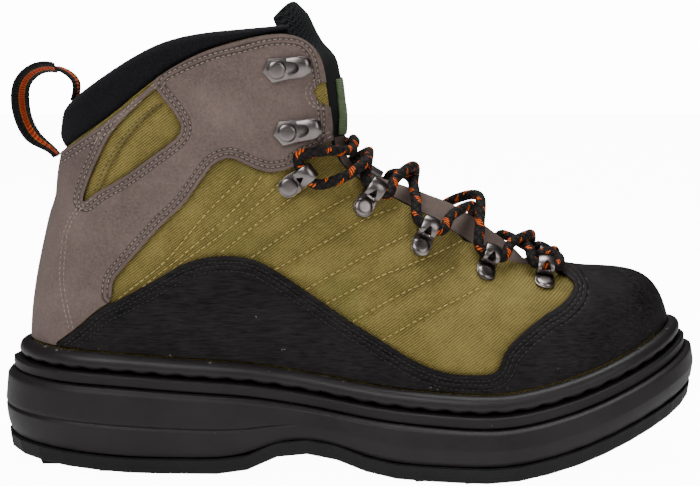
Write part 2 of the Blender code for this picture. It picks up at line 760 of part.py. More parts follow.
def make_toe_rand():
    wave = wave_over_rand()
    line = [side_point(*point) for point in wave + list(CAP_EDGE)]
    far = [side_point(CAP_EDGE[-1][0], FAR_UP), side_point(FAR_AHEAD, FAR_UP)]
    under = rand_line(wave[0][0], FAR_AHEAD)
    thing = add_object("toe_rand", overlay_shell("toe_rand"), GRAINED)
    combine(thing, prism("toe_rand_cutter", line + far + under[::-1]), "INTERSECT")
    return thing


def make_quarter_panel():
    seam = 2 * GAP
    wave = wave_over_rand()
    behind = [side_point(*point) for point in wave if point[0] < QUARTER_EDGE[0][0]]
    line = [(x - seam / 2, z + seam) for x, z in behind] + [side_point(*point) for point in QUARTER_EDGE]
    far = [side_point(QUARTER_EDGE[-1][0] + PANEL_LEAN, FAR_UP), side_point(FAR_BACK, FAR_UP)]
    under = rand_line(FAR_BACK, wave[0][0] - seam / SOLE_LENGTH)
    thing = add_object("quarter_panel", overlay_shell("quarter_panel"), NUBUCK)
    combine(thing, prism("quarter_cutter", line + far + under), "INTERSECT")
    combine(thing, prism("window_cutter", [side_point(*point) for point in WINDOW]), "DIFFERENCE")
    return thing


# Collar: a padded roll that sits on the upper's rim and hangs a little way inside

# Columns: out, up, tuck.
ROLL_SECTION = (
    (-0.04, 0.00, 0.0),
    (0.16, 0.20, 0.0),
    (0.20, 0.50, 0.0),
    (0.06, 0.80, 0.0),
    (-0.25, 0.97, 0.0),
    (-0.60, 0.99, 0.0),
    (-0.92, 0.80, 0.0),
    (-1.08, 0.45, 0.0),
    (-1.05, 0.05, 0.0),
    (-0.92, 0.00, 0.5),
    (-0.70, 0.00, 1.0),
    (-0.40, 0.00, 0.9),
    (-0.36, 0.00, 0.0),
)
ROLL_HEIGHTS = (
    (0.78, 0.07), (0.80, 0.10), (0.83, 0.20), (0.86, 0.40), (0.89, 0.68), (0.93, 0.98), (0.97, 0.97), (1.00, 0.93))
ROLL_FRONT = 0.780         # foot share where the roll begins on each side


def roll_stations():
    # The collar line from the outer front, round the back, to the inner front.
    shares = [share for share in COLUMN_SHARES if share >= ROLL_FRONT]
    stations = []
    for side in (OUTER, INNER):
        tops = wall_columns(side, shares)[3]
        feet = list(zip(tops, shares))
        stations += feet if side == OUTER else feet[-2::-1]
    return stations


def make_collar():
    stations = roll_stations()
    line = np.array([top for top, _ in stations])
    ahead = np.gradient(line[:, :2], axis=0)
    ahead /= np.linalg.norm(ahead, axis=1)[:, None]
    outwards = np.stack([ahead[:, 1], -ahead[:, 0]], axis=1)
    if outwards[0][1] > 0:
        outwards = -outwards
    rings = []
    for (top, share), push in zip(stations, outwards):
        height = COLLAR_HEIGHT * float(glide(*zip(*ROLL_HEIGHTS), share))
        ring = []
        for out, up, tuck in ROLL_SECTION:
            outside = out * COLLAR_PAD
            ring.append((top[0] + push[0] * outside, top[1] + push[1] * outside,
                         top[2] + 2 * GAP + up * height - tuck * COLLAR_TUCK))
        rings.append(ring)
    count = len(ROLL_SECTION)
    faces = [tuple(range(count)), tuple(range(len(rings) * count - 1, (len(rings) - 1) * count - 1, -1))]
    for k in range(len(rings) - 1):
        faces += ring_faces(k * count, (k + 1) * count, count)
    return add_object("collar", mesh_of("collar", np.vstack(rings), faces), NEOPRENE)


# Sheets of even thickness: tongue, label, pull loop

def sheet_normals(grid):
    normals = np.cross(np.gradient(grid, axis=1), np.gradient(grid, axis=0))
    return normals / np.linalg.norm(normals, axis=2)[..., None]


def thick_sheet(name, grid, thickness):
    # A closed sheet below the grid of points, which is its outer face.
    rows, count = grid.shape[:2]
    layers = np.vstack([grid.reshape(-1, 3), (grid - sheet_normals(grid) * thickness).reshape(-1, 3)])
    size = rows * count
    faces = []
    for row in range(rows - 1):
        for k in range(count - 1):
            a, b = row * count + k, (row + 1) * count + k
            faces += [(a, b, b + 1), (a, b + 1, a + 1), (a + size, b + 1 + size, b + size),
                      (a + size, a + 1 + size, b + 1 + size)]
    edge = list(range(count)) + [row * count + count - 1 for row in range(1, rows)]
    edge += [(rows - 1) * count + k for k in range(count - 2, -1, -1)]
    edge += [row * count for row in range(rows - 2, 0, -1)]
    faces += [(a, b, b + size, a + size) for a, b in zip(edge, edge[1:] + edge[:1])]
    return mesh_of(name, layers, faces)


# Tongue: it lies under the throat's edges and crowns out between them
# foot: share of the foot line. lap, edge: how far up the wall the section passes, crown: how far its middle
# stands out, as a share of THROAT_CROWN.
THROAT_CROWN = 0.0135
# Columns: foot, lap, edge, crown.
TONGUE_TABLE = (
    (0.185, 0.72, 0.92, 0.00),
    (0.235, 0.78, 0.97, 0.02),
    (0.262, 0.80, 0.98, 0.00),
    (0.292, 0.82, 1.00, 0.52),
    (0.333, 0.84, 1.00, 0.80),
    (0.389, 0.85, 1.00, 0.97),
    (0.444, 0.86, 1.00, 0.86),
    (0.500, 0.87, 1.00, 0.52),
    (0.556, 0.88, 1.00, 0.26),
    (0.605, 0.89, 1.00, 0.34),
    (0.645, 0.89, 1.00, 0.82),
    (0.668, 0.89, 1.00, 0.84),
    (0.692, 0.89, 1.00, 0.72),
    (0.712, 0.90, 1.00, 0.56),
    (0.740, 0.90, 1.00, 0.30),
)
# The free top, over the throat: the side edge and the middle, as shares along, of COLLAR_WIDTH / 2 and up.
# Columns: edge_along, edge_half, edge_up, crown_along, crown_up.
TONGUE_TOP_TABLE = (
    (0.425, 0.72, 0.985, 0.441, 1.035),
    (0.408, 0.66, 1.050, 0.432, 1.095),
    (0.392, 0.58, 1.078, 0.420, 1.145),
)
TONGUE_SINK = UPPER_WALL + 0.0011
TONGUE_STEPS = 8           # faces across the tongue
SHOULDER = 0.55            # where the section's straight flank ends, from the throat's edge to the middle
TOP_SHOULDER = (0.65, 0.72)  # the free top's flank: share of the way to its middle, and of its half width
RIDGE_STEP = 0.01
UPRIGHT = 0.9              # a normal this steep points out of the toe's ridge


def wall_normal(side, foot, height):
    here = wall_points(side, [foot], [height])[0, 0]
    by_foot = wall_points(side, [foot + SLOPE_STEP], [height])[0, 0] - here
    by_height = here - wall_points(side, [foot], [height - SLOPE_STEP])[0, 0]
    outwards = np.cross(by_foot, by_height)
    outwards /= np.linalg.norm(outwards)
    return here, outwards if outwards[1] * side > 0 or outwards[2] > UPRIGHT else -outwards


def tongue_section(foot, lap, edge, crown):
    sides = {}
    for side in (OUTER, INNER):
        for height in (lap, edge):
            place, outwards = wall_normal(side, foot, height)
            sides[side, height] = place - outwards * TONGUE_SINK
    middle = (sides[OUTER, edge] + sides[INNER, edge]) / 2
    path = wall_columns(OUTER, [foot - RIDGE_STEP, foot + RIDGE_STEP])[3]
    ahead = path[0] - path[1]
    outwards = np.array([-ahead[2], 0, ahead[0]]) / np.hypot(ahead[0], ahead[2])
    top = middle + outwards * crown * THROAT_CROWN
    shoulders = [sides[side, edge] * (1 - SHOULDER) + top * SHOULDER for side in (OUTER, INNER)]
    return curve_through([sides[OUTER, lap], sides[OUTER, edge], shoulders[0], top, shoulders[1],
                          sides[INNER, edge], sides[INNER, lap]])


def tongue_top_section(edge_along, edge_half, edge_up, crown_along, crown_up):
    edge_x, edge_z = side_point(edge_along, edge_up)
    crown_x, crown_z = side_point(crown_along, crown_up)
    half = edge_half * COLLAR_WIDTH / 2
    way, width = TOP_SHOULDER
    x, z = edge_x + (crown_x - edge_x) * way, edge_z + (crown_z - edge_z) * way
    return curve_through([(edge_x, -half, edge_z), (x, -half * width, z), (crown_x, 0, crown_z),
                          (x, half * width, z), (edge_x, half, edge_z)])


def tongue_grid():
    sections = [tongue_section(*row) for row in TONGUE_TABLE]
    sections += [tongue_top_section(*row) for row in TONGUE_TOP_TABLE]
    shares = np.linspace(0, 1, TONGUE_STEPS + 1)
    return np.array([walk(section, shares) for section in sections])


LABEL_ROWS = (10, 13)      # sections between which the bare label strip lies
LABEL_COLUMNS = (2, 6)
LABEL_THICKNESS = 0.0008


def make_tongue():
    return add_object("tongue", thick_sheet("tongue", tongue_grid(), TONGUE_THICKNESS), NUBUCK)


def make_tongue_label():
    grid = tongue_grid()
    raised = grid + sheet_normals(grid) * (GAP + LABEL_THICKNESS)
    patch = raised[LABEL_ROWS[0]:LABEL_ROWS[1] + 1, LABEL_COLUMNS[0]:LABEL_COLUMNS[1] + 1]
    return add_object("tongue_label", thick_sheet("tongue_label", patch, LABEL_THICKNESS), LABEL_GREEN)


# Pull loop: webbing sewn over the heel seam, up and back down onto the collar
# ahead, up: shares of PULL_LOOP_SIZE, from the seam.
PULL_LOOP_SIZE = 0.040
# Columns: ahead, up.
PULL_ROUTE = (
    (-0.25, 0.24), (-0.35, 0.53), (-0.33, 0.81), (-0.20, 0.95), (-0.06, 1.00), (0.09, 0.98), (0.22, 0.92),
    (0.31, 0.80),
)
PULL_STEPS = 18
PULL_LAP = 0.0012          # how far the webbing laps over the leather
PULL_REST = 0.0042         # clears the rise of the collar beside the heel seam
PULL_INSIDE = 0.78         # where it comes down on the collar, as a share of COLLAR_PAD


def make_pull_loop():
    seam = wall_columns(OUTER, [1.0])[3][0]
    outside = seam[0] - GAP - OVERLAY_THICKNESS - GAP - COLLAR_PAD * max(row[0] for row in ROLL_SECTION) / 2
    collar_top = seam[2] + PULL_REST + COLLAR_HEIGHT * ROLL_HEIGHTS[-1][1]
    x = outside - WEBBING_THICKNESS / 2
    points = [(x - GAP, seam[2] - PULL_LAP), (x - GAP, seam[2])]
    points += [(x + ahead * PULL_LOOP_SIZE, seam[2] + up * PULL_LOOP_SIZE) for ahead, up in PULL_ROUTE]
    points.append((seam[0] + COLLAR_PAD * PULL_INSIDE, collar_top))
    line = walk(curve_through(points), np.linspace(0, 1, PULL_STEPS + 1))
    half = WEBBING_WIDTH / 2
    grid = np.array([[(px, y, pz) for y in (-half, 0, half)] for px, pz in line])
    outer = grid + sheet_normals(grid) * WEBBING_THICKNESS / 2
    return add_object("pull_loop", thick_sheet("pull_loop", outer, WEBBING_THICKNESS), WEBBING)


# Lace hardware, modelled lying flat: +X from the rivet to the loop, +Z out of the boot

RIVET_SIDES = 8
# Columns: wide, high.
RIVET_RINGS = (
    (1.0, 0.0),
    (1.0, 0.35),
    (0.62, 1.0),
)
LOOP_SIDES = 9
BORE_DIAMETER = 0.0064     # what the lace runs through


def rivet_mesh():
    rings = []
    for wide, high in RIVET_RINGS:
        radius = wide * RIVET_DIAMETER / 2
        height = PLATE_THICKNESS / 2 + high * (RIVET_HEIGHT + PLATE_THICKNESS / 2)
        rings.append([(radius * math.cos(turn), radius * math.sin(turn), height)
                      for turn in np.linspace(0, 2 * math.pi, RIVET_SIDES, endpoint=False)])
    top = (len(RIVET_RINGS) - 1) * RIVET_SIDES
    faces = [tuple(range(RIVET_SIDES)), tuple(range(top, top + RIVET_SIDES))]
    for level in range(len(rings) - 1):
        faces += ring_faces(level * RIVET_SIDES, (level + 1) * RIVET_SIDES, RIVET_SIDES)
    return mesh_of("rivet", [point for ring in rings for point in ring], faces)


def plate_mesh(outline):
    count = len(outline)
    points = [(x, y, z) for z in (0, PLATE_THICKNESS) for x, y in outline]
    faces = [tuple(range(count)), tuple(range(count, 2 * count))] + ring_faces(0, count, count)
    return mesh_of("plate", points, faces)


def strip_mesh(profile, width):
    # A strip of metal whose section, in X and Z, is the closed line of the profile.
    count = len(profile)
    points = [(x, y, z) for y in (-width / 2, width / 2) for x, z in profile]
    faces = ring_faces(0, count, count) + [tuple(range(count)), tuple(range(count, 2 * count))]
    return mesh_of("strip", points, faces)


def sleeve_mesh(outside, inside, width):
    # A short tube between two rings of X and Z.
    count = len(outside)
    points = [(x, y, z) for y in (-width / 2, width / 2) for x, z in outside + inside]
    faces = []
    for first, second in ((0, 2), (1, 3), (0, 1), (2, 3)):
        faces += ring_faces(first * count, second * count, count)
    return mesh_of("sleeve", points, faces)


PLATE_RIM = 0.0004         # how far the loop's plate stands out round its rivet
PLATE_BACK = (130, 180, 230)  # corners of its round end, in degrees
PLATE_NECK = 0.4           # where the plate starts to narrow, from the rivet's middle to its rim
SEAT_LIFT = 0.0001         # a bent strip's foot over its plate's underside
HOOK_BACK = 0.0062         # rivet to the hook plate's point
HOOK_CORNER = 0.5          # where its straight sides start, back from the rivet
HOOK_TAPER = 0.9
HOOK_STRIP = 0.86          # width of the bent strip, as a share of HOOK_WIDTH
HOOK_BILL = 0.36           # how far the bill reaches back, as a share of HOOK_LENGTH
HOOK_ROOT = 0.0020
HOOK_BENDS = 5


def loop_height():
    return BORE_DIAMETER / 2 + LOOP_METAL


def lace_loop_mesh():
    wide, narrow = RIVET_DIAMETER / 2 + PLATE_RIM, LOOP_WIDTH / 2
    neck = wide * PLATE_NECK
    outline = [(LOOP_REACH, -narrow), (LOOP_REACH, narrow), (neck, wide)]
    outline += [(wide * math.cos(turn), wide * math.sin(turn)) for turn in np.radians(PLATE_BACK)]
    outline.append((neck, -wide))
    rim = [(math.cos(turn), math.sin(turn)) for turn in np.linspace(0, 2 * math.pi, LOOP_SIDES, endpoint=False)]
    middle = loop_height() + SEAT_LIFT
    outside, inside = (
        [(LOOP_REACH + radius * x, middle + radius * z) for x, z in rim]
        for radius in (loop_height(), BORE_DIAMETER / 2))
    return fuse("lace_loop", [plate_mesh(outline), sleeve_mesh(outside, inside, LOOP_WIDTH), rivet_mesh()])


def speed_hook_mesh():
    half, outer = HOOK_WIDTH / 2, HOOK_HEIGHT / 2
    inner = outer - LOOP_METAL
    front, corner = HOOK_LENGTH - HOOK_BACK - outer, -HOOK_BACK * HOOK_CORNER
    outline = [(-HOOK_BACK, 0), (corner, -half), (front, -half * HOOK_TAPER), (front, half * HOOK_TAPER),
               (corner, half)]
    turns = np.radians(np.linspace(-90, 90, HOOK_BENDS))
    root, tip = front - HOOK_ROOT, front - HOOK_LENGTH * HOOK_BILL
    middle = SEAT_LIFT + outer
    profile = [(root, SEAT_LIFT)]
    profile += [(front + outer * math.cos(turn), middle + outer * math.sin(turn)) for turn in turns]
    profile += [(tip, SEAT_LIFT + HOOK_HEIGHT), (tip, SEAT_LIFT + HOOK_HEIGHT - LOOP_METAL)]
    profile += [(front + inner * math.cos(turn), middle + inner * math.sin(turn)) for turn in turns[::-1]]
    profile.append((root, SEAT_LIFT + LOOP_METAL))
    return fuse("speed_hook", [plate_mesh(outline), strip_mesh(profile, HOOK_WIDTH * HOOK_STRIP), rivet_mesh()])


# Where each piece's rivet sits in the side view, and the way it points there.
# Columns: number, along, up, way.
LOOP_TABLE = (
    (1, 0.415, 0.603, 38),
    (2, 0.516, 0.571, 58),
    (3, 0.595, 0.468, 66),
    (4, 0.686, 0.390, 76),
    (5, 0.770, 0.327, 80),
)
# Columns: number, along, up, way.
HOOK_TABLE = (
    (1, 0.399, 0.942, 9),
    (2, 0.413, 0.763, 10),
)
SIDES = (("outer", OUTER), ("inner", INNER))


def seat_frame(side, along, up, way, lift):
    # The place and turn of a flat piece on the upper.
    place, outwards = surface_at(side, along, up)
    turn = math.radians(way)
    ahead = Vector((math.cos(turn), 0, math.sin(turn)))
    ahead.y = -(outwards.x * ahead.x + outwards.z * ahead.z) / outwards.y
    ahead.normalize()
    across = outwards.cross(ahead)
    frame = Matrix((ahead, across, outwards)).transposed().to_4x4()
    frame.translation = place + outwards * lift
    return frame


def make_hardware():
    loop, hook = lace_loop_mesh(), speed_hook_mesh()
    for side_name, side in SIDES:
        for number, *seat in LOOP_TABLE:
            thing = add_object(f"lace_loop_{side_name}_{number}", loop.copy(), GUNMETAL)
            thing.matrix_world = seat_frame(side, *seat, PLATE_LIFT)
        for number, *seat in HOOK_TABLE:
            thing = add_object(f"speed_hook_{side_name}_{number}", hook.copy(), GUNMETAL)
            thing.matrix_world = seat_frame(side, *seat, GAP + OVERLAY_THICKNESS + PLATE_LIFT)


# Lace: one cord through every loop, crossing over the tongue, with its ends in a knot over the throat

LACE_CLEAR = 0.0012        # between the lace and what it passes over
LACE_LEAD = 0.0020         # how far it runs straight out of a loop
RIDGE_STEPS = 300
KNOT_PLACE = (0.520, 0.740)  # along and up in the side view
KNOT_STEPS = 15
CORD_SIDES = 2             # steps of the cord's quarter turn
# Hand-placed points of the lace from KNOT_PLACE; aside is away from the middle line.
# Columns: ahead, aside, up.
TOP_GUIDES = (
    (0.0000, 0.0265, -0.0050),
    (-0.0100, 0.0358, -0.0108),
)
END_GUIDES = (
    (-0.0295, 0.0412, -0.0010),
    (-0.0235, 0.0418, 0.0005),
    (-0.0165, 0.0385, 0.0012),
    (-0.0095, 0.0300, 0.0004),
    (-0.0060, 0.0190, 0.0000),
    (-0.0060, 0.0147, 0.0000),
)
KNOT_GUIDES = (
    (-0.0060, -0.0140, 0.0000),
    (-0.0060, -0.0105, 0.0001),
    (-0.0048, -0.0045, 0.0030),
    (-0.0050, 0.0005, 0.0012),
    (-0.0055, 0.0050, 0.0032),
    (-0.0060, 0.0105, 0.0001),
    (-0.0060, 0.0140, 0.0000),
)
EDGE_SHARE = 0.30          # where the lace passes the throat's edge on its way to a crossing
EDGE_CLIMB = 0.0030        # how far it stands off there
BAR_TURN = 0.0042          # how far the bottom bar swings round the lowest loops
TOP_CROSSING = 0.72        # how near the last crossing lies to the lower pair of loops


def loop_frame(side, number):
    seat = next(row for row in LOOP_TABLE if row[0] == number)
    return seat_frame(side, *seat[1:], PLATE_LIFT)


def loop_passage(side, number):
    # The two ends of the lace's straight way through a loop, the toe's side first.
    frame = loop_frame(side, number)
    middle = frame @ Vector((LOOP_REACH, 0, loop_height()))
    heelwards = frame.col[1].to_3d() * -side
    reach = LOOP_WIDTH / 2 + LACE_LEAD
    return [middle - heelwards * reach, middle + heelwards * reach]


def crossing(lower, upper, on_top):
    # Where the lace crosses the tongue's ridge between two pairs of loops.
    grid = tongue_grid()
    ridge, normals = grid[:, TONGUE_STEPS // 2], sheet_normals(grid)[:, TONGUE_STEPS // 2]
    places = [loop_frame(side, number) @ Vector((LOOP_REACH, 0, loop_height()))
              for side in (OUTER, INNER) for number in (lower, upper)]
    share = TOP_CROSSING if upper == 1 else 0.5
    middle = (places[0] + places[2]) * share / 2 + (places[1] + places[3]) * (1 - share) / 2
    dense = walk(np.hstack([ridge, normals]), np.linspace(0, 1, RIDGE_STEPS))
    nearest = dense[np.argmin(np.linalg.norm(dense[:, :3] - np.array(middle), axis=1))]
    place, outwards = Vector(nearest[:3]), Vector(nearest[3:]).normalized()
    place += outwards * (LACE_CLEAR + LACE_DIAMETER / 2)
    place += outwards * max((middle - place).dot(outwards), 0)
    return place + outwards * (LACE_DIAMETER + 2 * GAP if on_top else 0)


def strand(side):
    # From the bottom loop on one side up to the top loop, crossing between them.
    route = []
    for number in range(len(LOOP_TABLE), 0, -1):
        route += loop_passage(side, number)
        if number == 1:
            break
        over = crossing(number, number - 1, (side == OUTER) == (number % 2 == 0))
        climb = Vector((0, 0, EDGE_CLIMB))
        route += [route[-1].lerp(over, EDGE_SHARE) + climb, over]
        side = -side
        if number == 2:
            route += [guide_point(side, guide) for guide in TOP_GUIDES]
        else:
            route.append(loop_passage(side, number - 1)[0].lerp(over, EDGE_SHARE) + climb)
    return route, side


def guide_point(side, guide):
    ahead, aside, up = guide
    x, z = side_point(*KNOT_PLACE)
    return Vector((x + ahead, float(middle_y(x)) + side * aside, z + up))


def cord(name, points, finish):
    curve = bpy.data.curves.new(name, "CURVE")
    curve.dimensions = "3D"
    curve.bevel_depth = LACE_DIAMETER / 2
    curve.bevel_resolution = CORD_SIDES
    curve.use_fill_caps = True
    spline = curve.splines.new("POLY")
    spline.points.add(len(points) - 1)
    for point, place in zip(spline.points, points):
        point.co = (*place, 1.0)
    curve.materials.append(finish_of(f"{name}_finish", *finish))
    thing = bpy.data.objects.new(name, curve)
    bpy.context.collection.objects.link(thing)
    return thing


def make_lace():
    first, first_side = strand(OUTER)
    second, second_side = strand(INNER)
    bar = crossing(len(LOOP_TABLE), len(LOOP_TABLE), False)
    turns = [(point + bar) / 2 + Vector((BAR_TURN, 0, BAR_TURN / 2)) for point in (first[0], second[0])]
    ends = [[guide_point(side, guide) for guide in END_GUIDES] for side in (first_side, second_side)]
    route = ends[0][::-1] + first[::-1] + [turns[0], bar, turns[1]] + second + ends[1]
    cord("lace", route, LACE_YARN)
    knot = curve_through([tuple(guide_point(INNER, guide)) for guide in KNOT_GUIDES])
    cord("lace_knot", walk(knot, np.linspace(0, 1, KNOT_STEPS)), LACE_YARN)


for maker in (make_outsole, make_midsole, make_welt, make_rand, make_insole, make_upper, make_toe_rand,
              make_quarter_panel, make_collar, make_tongue, make_tongue_label, make_pull_loop, make_hardware,
              make_lace):
    maker()
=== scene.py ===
import math

import bmesh
import bpy
import numpy as np
from mathutils import Matrix, Vector
from mathutils.bvhtree import BVHTree

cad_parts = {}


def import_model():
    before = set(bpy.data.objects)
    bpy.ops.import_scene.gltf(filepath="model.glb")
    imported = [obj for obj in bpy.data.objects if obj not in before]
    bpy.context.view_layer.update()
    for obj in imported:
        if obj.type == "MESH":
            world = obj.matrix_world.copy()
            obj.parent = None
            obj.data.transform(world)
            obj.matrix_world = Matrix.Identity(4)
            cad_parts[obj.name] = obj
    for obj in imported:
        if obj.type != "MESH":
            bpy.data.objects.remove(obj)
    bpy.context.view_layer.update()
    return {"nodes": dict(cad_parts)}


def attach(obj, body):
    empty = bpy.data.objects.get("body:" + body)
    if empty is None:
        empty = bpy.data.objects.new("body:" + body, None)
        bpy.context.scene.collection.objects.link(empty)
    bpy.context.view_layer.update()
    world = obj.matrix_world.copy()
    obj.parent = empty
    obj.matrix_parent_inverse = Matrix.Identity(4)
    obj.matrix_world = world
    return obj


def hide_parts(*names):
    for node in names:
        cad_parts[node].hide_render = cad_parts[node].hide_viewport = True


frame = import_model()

# Wading boot for the right foot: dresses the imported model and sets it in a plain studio.
# Metres, toe towards +X, inner side of the foot towards +Y.

nodes = frame["nodes"]

view = {"place": (0.082, -0.750, 0.2008), "tiltDown": 7.592, "lens": 83.73, "sensor": 36.0}
bpy.ops.object.camera_add(location=view["place"], rotation=(math.radians(90 - view["tiltDown"]), 0, 0))
camera = bpy.context.object
camera.data.lens = view["lens"]
camera.data.sensor_width = view["sensor"]
bpy.context.scene.camera = camera


# Curves, and places on the boot's side

def smoothLine(points, spacing=0.001, closed=False):
    # a smooth line through the points, with a point at each spacing
    line = np.asarray(points, float)
    ends = np.vstack([line[-1:], line, line[:2]]) if closed else np.vstack(
        [2 * line[0] - line[1], line, 2 * line[-1] - line[-2]])
    dense = []
    for before, start, end, after in zip(ends, ends[1:], ends[2:], ends[3:]):
        a, b, c = (max(np.linalg.norm(q - p), 1e-9) ** 0.5 for p, q in ((before, start), (start, end), (end, after)))
        leave = (start - before) / a - (end - before) / (a + b) + (end - start) / b
        reach = (end - start) / b - (after - start) / (b + c) + (after - end) / c
        for s in np.arange(16) / 16:
            dense.append((2 * s**3 - 3 * s**2 + 1) * start + (s**3 - 2 * s**2 + s) * b * leave
                         + (3 * s**2 - 2 * s**3) * end + (s**3 - s**2) * b * reach)
    dense.append(line[0] if closed else line[-1])
    dense = np.array(dense)
    lengths = runAlong(dense)
    count = max(int(round(lengths[-1] / spacing)), 2)
    at = np.linspace(0, lengths[-1], count + 1)
    return np.stack([np.interp(at, lengths, dense[:, k]) for k in range(dense.shape[1])], axis=-1)


def besideLine(line, distance):
    # the line moved to its left, seen with +X to the right and +Z up
    ahead = np.gradient(line, axis=0)
    ahead /= np.linalg.norm(ahead, axis=1)[:, None]
    moved = line + np.stack([-ahead[:, 1], ahead[:, 0]], axis=1) * distance
    misses = np.linalg.norm(moved[:, None] - line[None], axis=2).min(axis=1)
    return moved[misses > abs(distance) * 0.97]


def runAlong(line):
    # how far along the line each of its points lies
    return np.concatenate([[0], np.cumsum(np.linalg.norm(np.diff(line, axis=0), axis=1))])


def isInside(points, outline):
    inside = np.zeros(len(points), bool)
    for (x1, z1), (x2, z2) in zip(outline, np.roll(outline, -1, axis=0)):
        crosses = (z1 > points[:, 1]) != (z2 > points[:, 1])
        if crosses.any():
            edgeX = x1 + (points[:, 1] - z1) * (x2 - x1) / (z2 - z1 if z2 != z1 else 1e-12)
            inside ^= crosses & (points[:, 0] < edgeX)
    return inside


def nearest(points, line, batch=4000):
    # how far the line's nearest point is, and which one, batch by batch to spare memory
    misses, which = np.empty(len(points)), np.empty(len(points), int)
    for start in range(0, len(points), batch):
        away = np.linalg.norm(points[start:start + batch, None] - line[None], axis=2)
        misses[start:start + batch], which[start:start + batch] = away.min(axis=1), away.argmin(axis=1)
    return misses, which


def distanceTo(points, line):
    return nearest(points, line)[0]


def ease(start, end, at):
    share = np.clip((at - start) / (end - start), 0, 1)
    return share * share * (3 - 2 * share)


def treeOf(thing):
    mesh = thing.data
    return BVHTree.FromPolygons([vertex.co for vertex in mesh.vertices], [tuple(p.vertices) for p in mesh.polygons])


# places on the side are shares: along the sole from the heel's back, and up from the welt's top
boot = {"soleLength": 0.325, "heelBack": -0.080, "upperHeight": 0.150, "far": 0.2, "over": 0.3,
        "weltAlong": (-0.074, 0.238, 80), "weltMiddle": 0.004}
weltTree = treeOf(nodes["welt"])
weltXs = np.linspace(*boot["weltAlong"])
weltZs = np.array([weltTree.ray_cast(Vector((x, boot["weltMiddle"], boot["over"])), Vector((0, 0, -1)))[0].z
                   for x in weltXs])


def weltTop(x):
    return np.interp(x, weltXs, weltZs)


def sidePoint(along, up):
    x = along * boot["soleLength"] + boot["heelBack"]
    return x, float(weltTop(x)) + up * boot["upperHeight"]


def sideLine(shares, spacing=0.001, closed=False):
    return smoothLine([sidePoint(*share) for share in shares], spacing, closed)


# Objects

def take(thing=None):
    if bpy.context.mode != "OBJECT":
        bpy.ops.object.mode_set(mode="OBJECT")
    bpy.ops.object.select_all(action="DESELECT")
    if thing:
        thing.select_set(True)
        bpy.context.view_layer.objects.active = thing
    return thing


def addObject(name, mesh):
    thing = bpy.data.objects.new(name, mesh)
    bpy.context.collection.objects.link(thing)
    return thing


def modify(thing, kind, **settings):
    take(thing)
    change = thing.modifiers.new(kind.lower(), kind)
    for key, value in settings.items():
        setattr(change, key, value)
    bpy.ops.object.modifier_apply(modifier=change.name)


def subdivide(thing, levels):
    modify(thing, "SUBSURF", levels=levels, render_levels=levels)


def soften(thing, width, segments, angle):
    modify(thing, "BEVEL", width=width, segments=segments, limit_method="ANGLE", angle_limit=math.radians(angle))


def cutBy(thing, tool, operation="DIFFERENCE"):
    modify(thing, "BOOLEAN", object=tool, operation=operation, solver="EXACT")
    bpy.data.objects.remove(tool)


def smooth(thing, angle):
    take(thing)
    bpy.ops.object.shade_smooth_by_angle(angle=math.radians(angle))


def turnOutwards():
    # all faces of the active piece point out, and it is left in object mode
    bpy.ops.object.mode_set(mode="EDIT")
    bpy.ops.mesh.select_all(action="SELECT")
    bpy.ops.mesh.normals_make_consistent(inside=False)
    bpy.ops.object.mode_set(mode="OBJECT")


def prism(name, corners, way):
    # the flat outline through the corners, drawn out along way
    take()
    bpy.ops.mesh.primitive_circle_add(vertices=len(corners), radius=0.1, fill_type="NGON")
    thing = bpy.context.object
    thing.name = thing.data.name = name
    for vertex, corner in zip(thing.data.vertices, corners):
        vertex.co = corner
    bpy.ops.object.mode_set(mode="EDIT")
    bpy.ops.mesh.select_all(action="SELECT")
    bpy.ops.mesh.extrude_region_move(TRANSFORM_OT_translate={"value": way})
    turnOutwards()
    return thing


def tubeFaces(rings, sides):
    return [(k * sides + j, k * sides + (j + 1) % sides, (k + 1) * sides + (j + 1) % sides, (k + 1) * sides + j)
            for k in range(rings - 1) for j in range(sides)]


def copyOf(node, name):
    # the CAD node's shape, merged, with quads where its triangles pair up
    mesh = nodes[node].data.copy()
    mesh.materials.clear()
    thing = take(addObject(name, mesh))
    if mesh.has_custom_normals:
        bpy.ops.mesh.customdata_custom_splitnormals_clear()
    bpy.ops.object.mode_set(mode="EDIT")
    bpy.ops.mesh.select_all(action="SELECT")
    bpy.ops.mesh.remove_doubles(threshold=1e-5)
    bpy.ops.mesh.mark_sharp(clear=True)
    bpy.ops.mesh.tris_convert_to_quads(face_threshold=math.radians(60), shape_threshold=math.radians(60))
    bpy.ops.object.mode_set(mode="OBJECT")
    return thing


def places(thing, kind="co"):
    flat = np.empty(len(thing.data.vertices) * 3)
    thing.data.vertices.foreach_get(kind, flat)
    return flat.reshape(-1, 3)


def normalsOf(thing):
    return places(thing, "normal")


def putPlaces(thing, points):
    thing.data.vertices.foreach_set("co", np.asarray(points, float).ravel())
    thing.data.update()


def record(thing, name, values):
    layer = thing.data.attributes.new(name, "FLOAT", "POINT")
    layer.data.foreach_set("value", np.asarray(values, np.float32))


def creaseSharp(thing, angle, amount):
    # holds the shape's own edges while it is subdivided
    work = bmesh.new()
    work.from_mesh(thing.data)
    layer = work.edges.layers.float.get("crease_edge") or work.edges.layers.float.new("crease_edge")
    for edge in work.edges:
        if len(edge.link_faces) == 2 and edge.calc_face_angle(0) > math.radians(angle):
            edge[layer] = amount
    work.to_mesh(thing.data)
    work.free()


def softCopy(node, name, angle, hold, levels):
    # the CAD node's shape made smooth, with its edges past angle held by as much as hold
    thing = copyOf(node, name)
    creaseSharp(thing, angle, hold)
    subdivide(thing, levels)
    return thing


def dress(thing, material, *replaced, slot=None, angle=40):
    thing.data.materials.clear()
    thing.data.materials.append(material)
    smooth(thing, angle)
    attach(thing, "root")
    if replaced:
        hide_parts(*replaced)
    return thing


# Shader maths

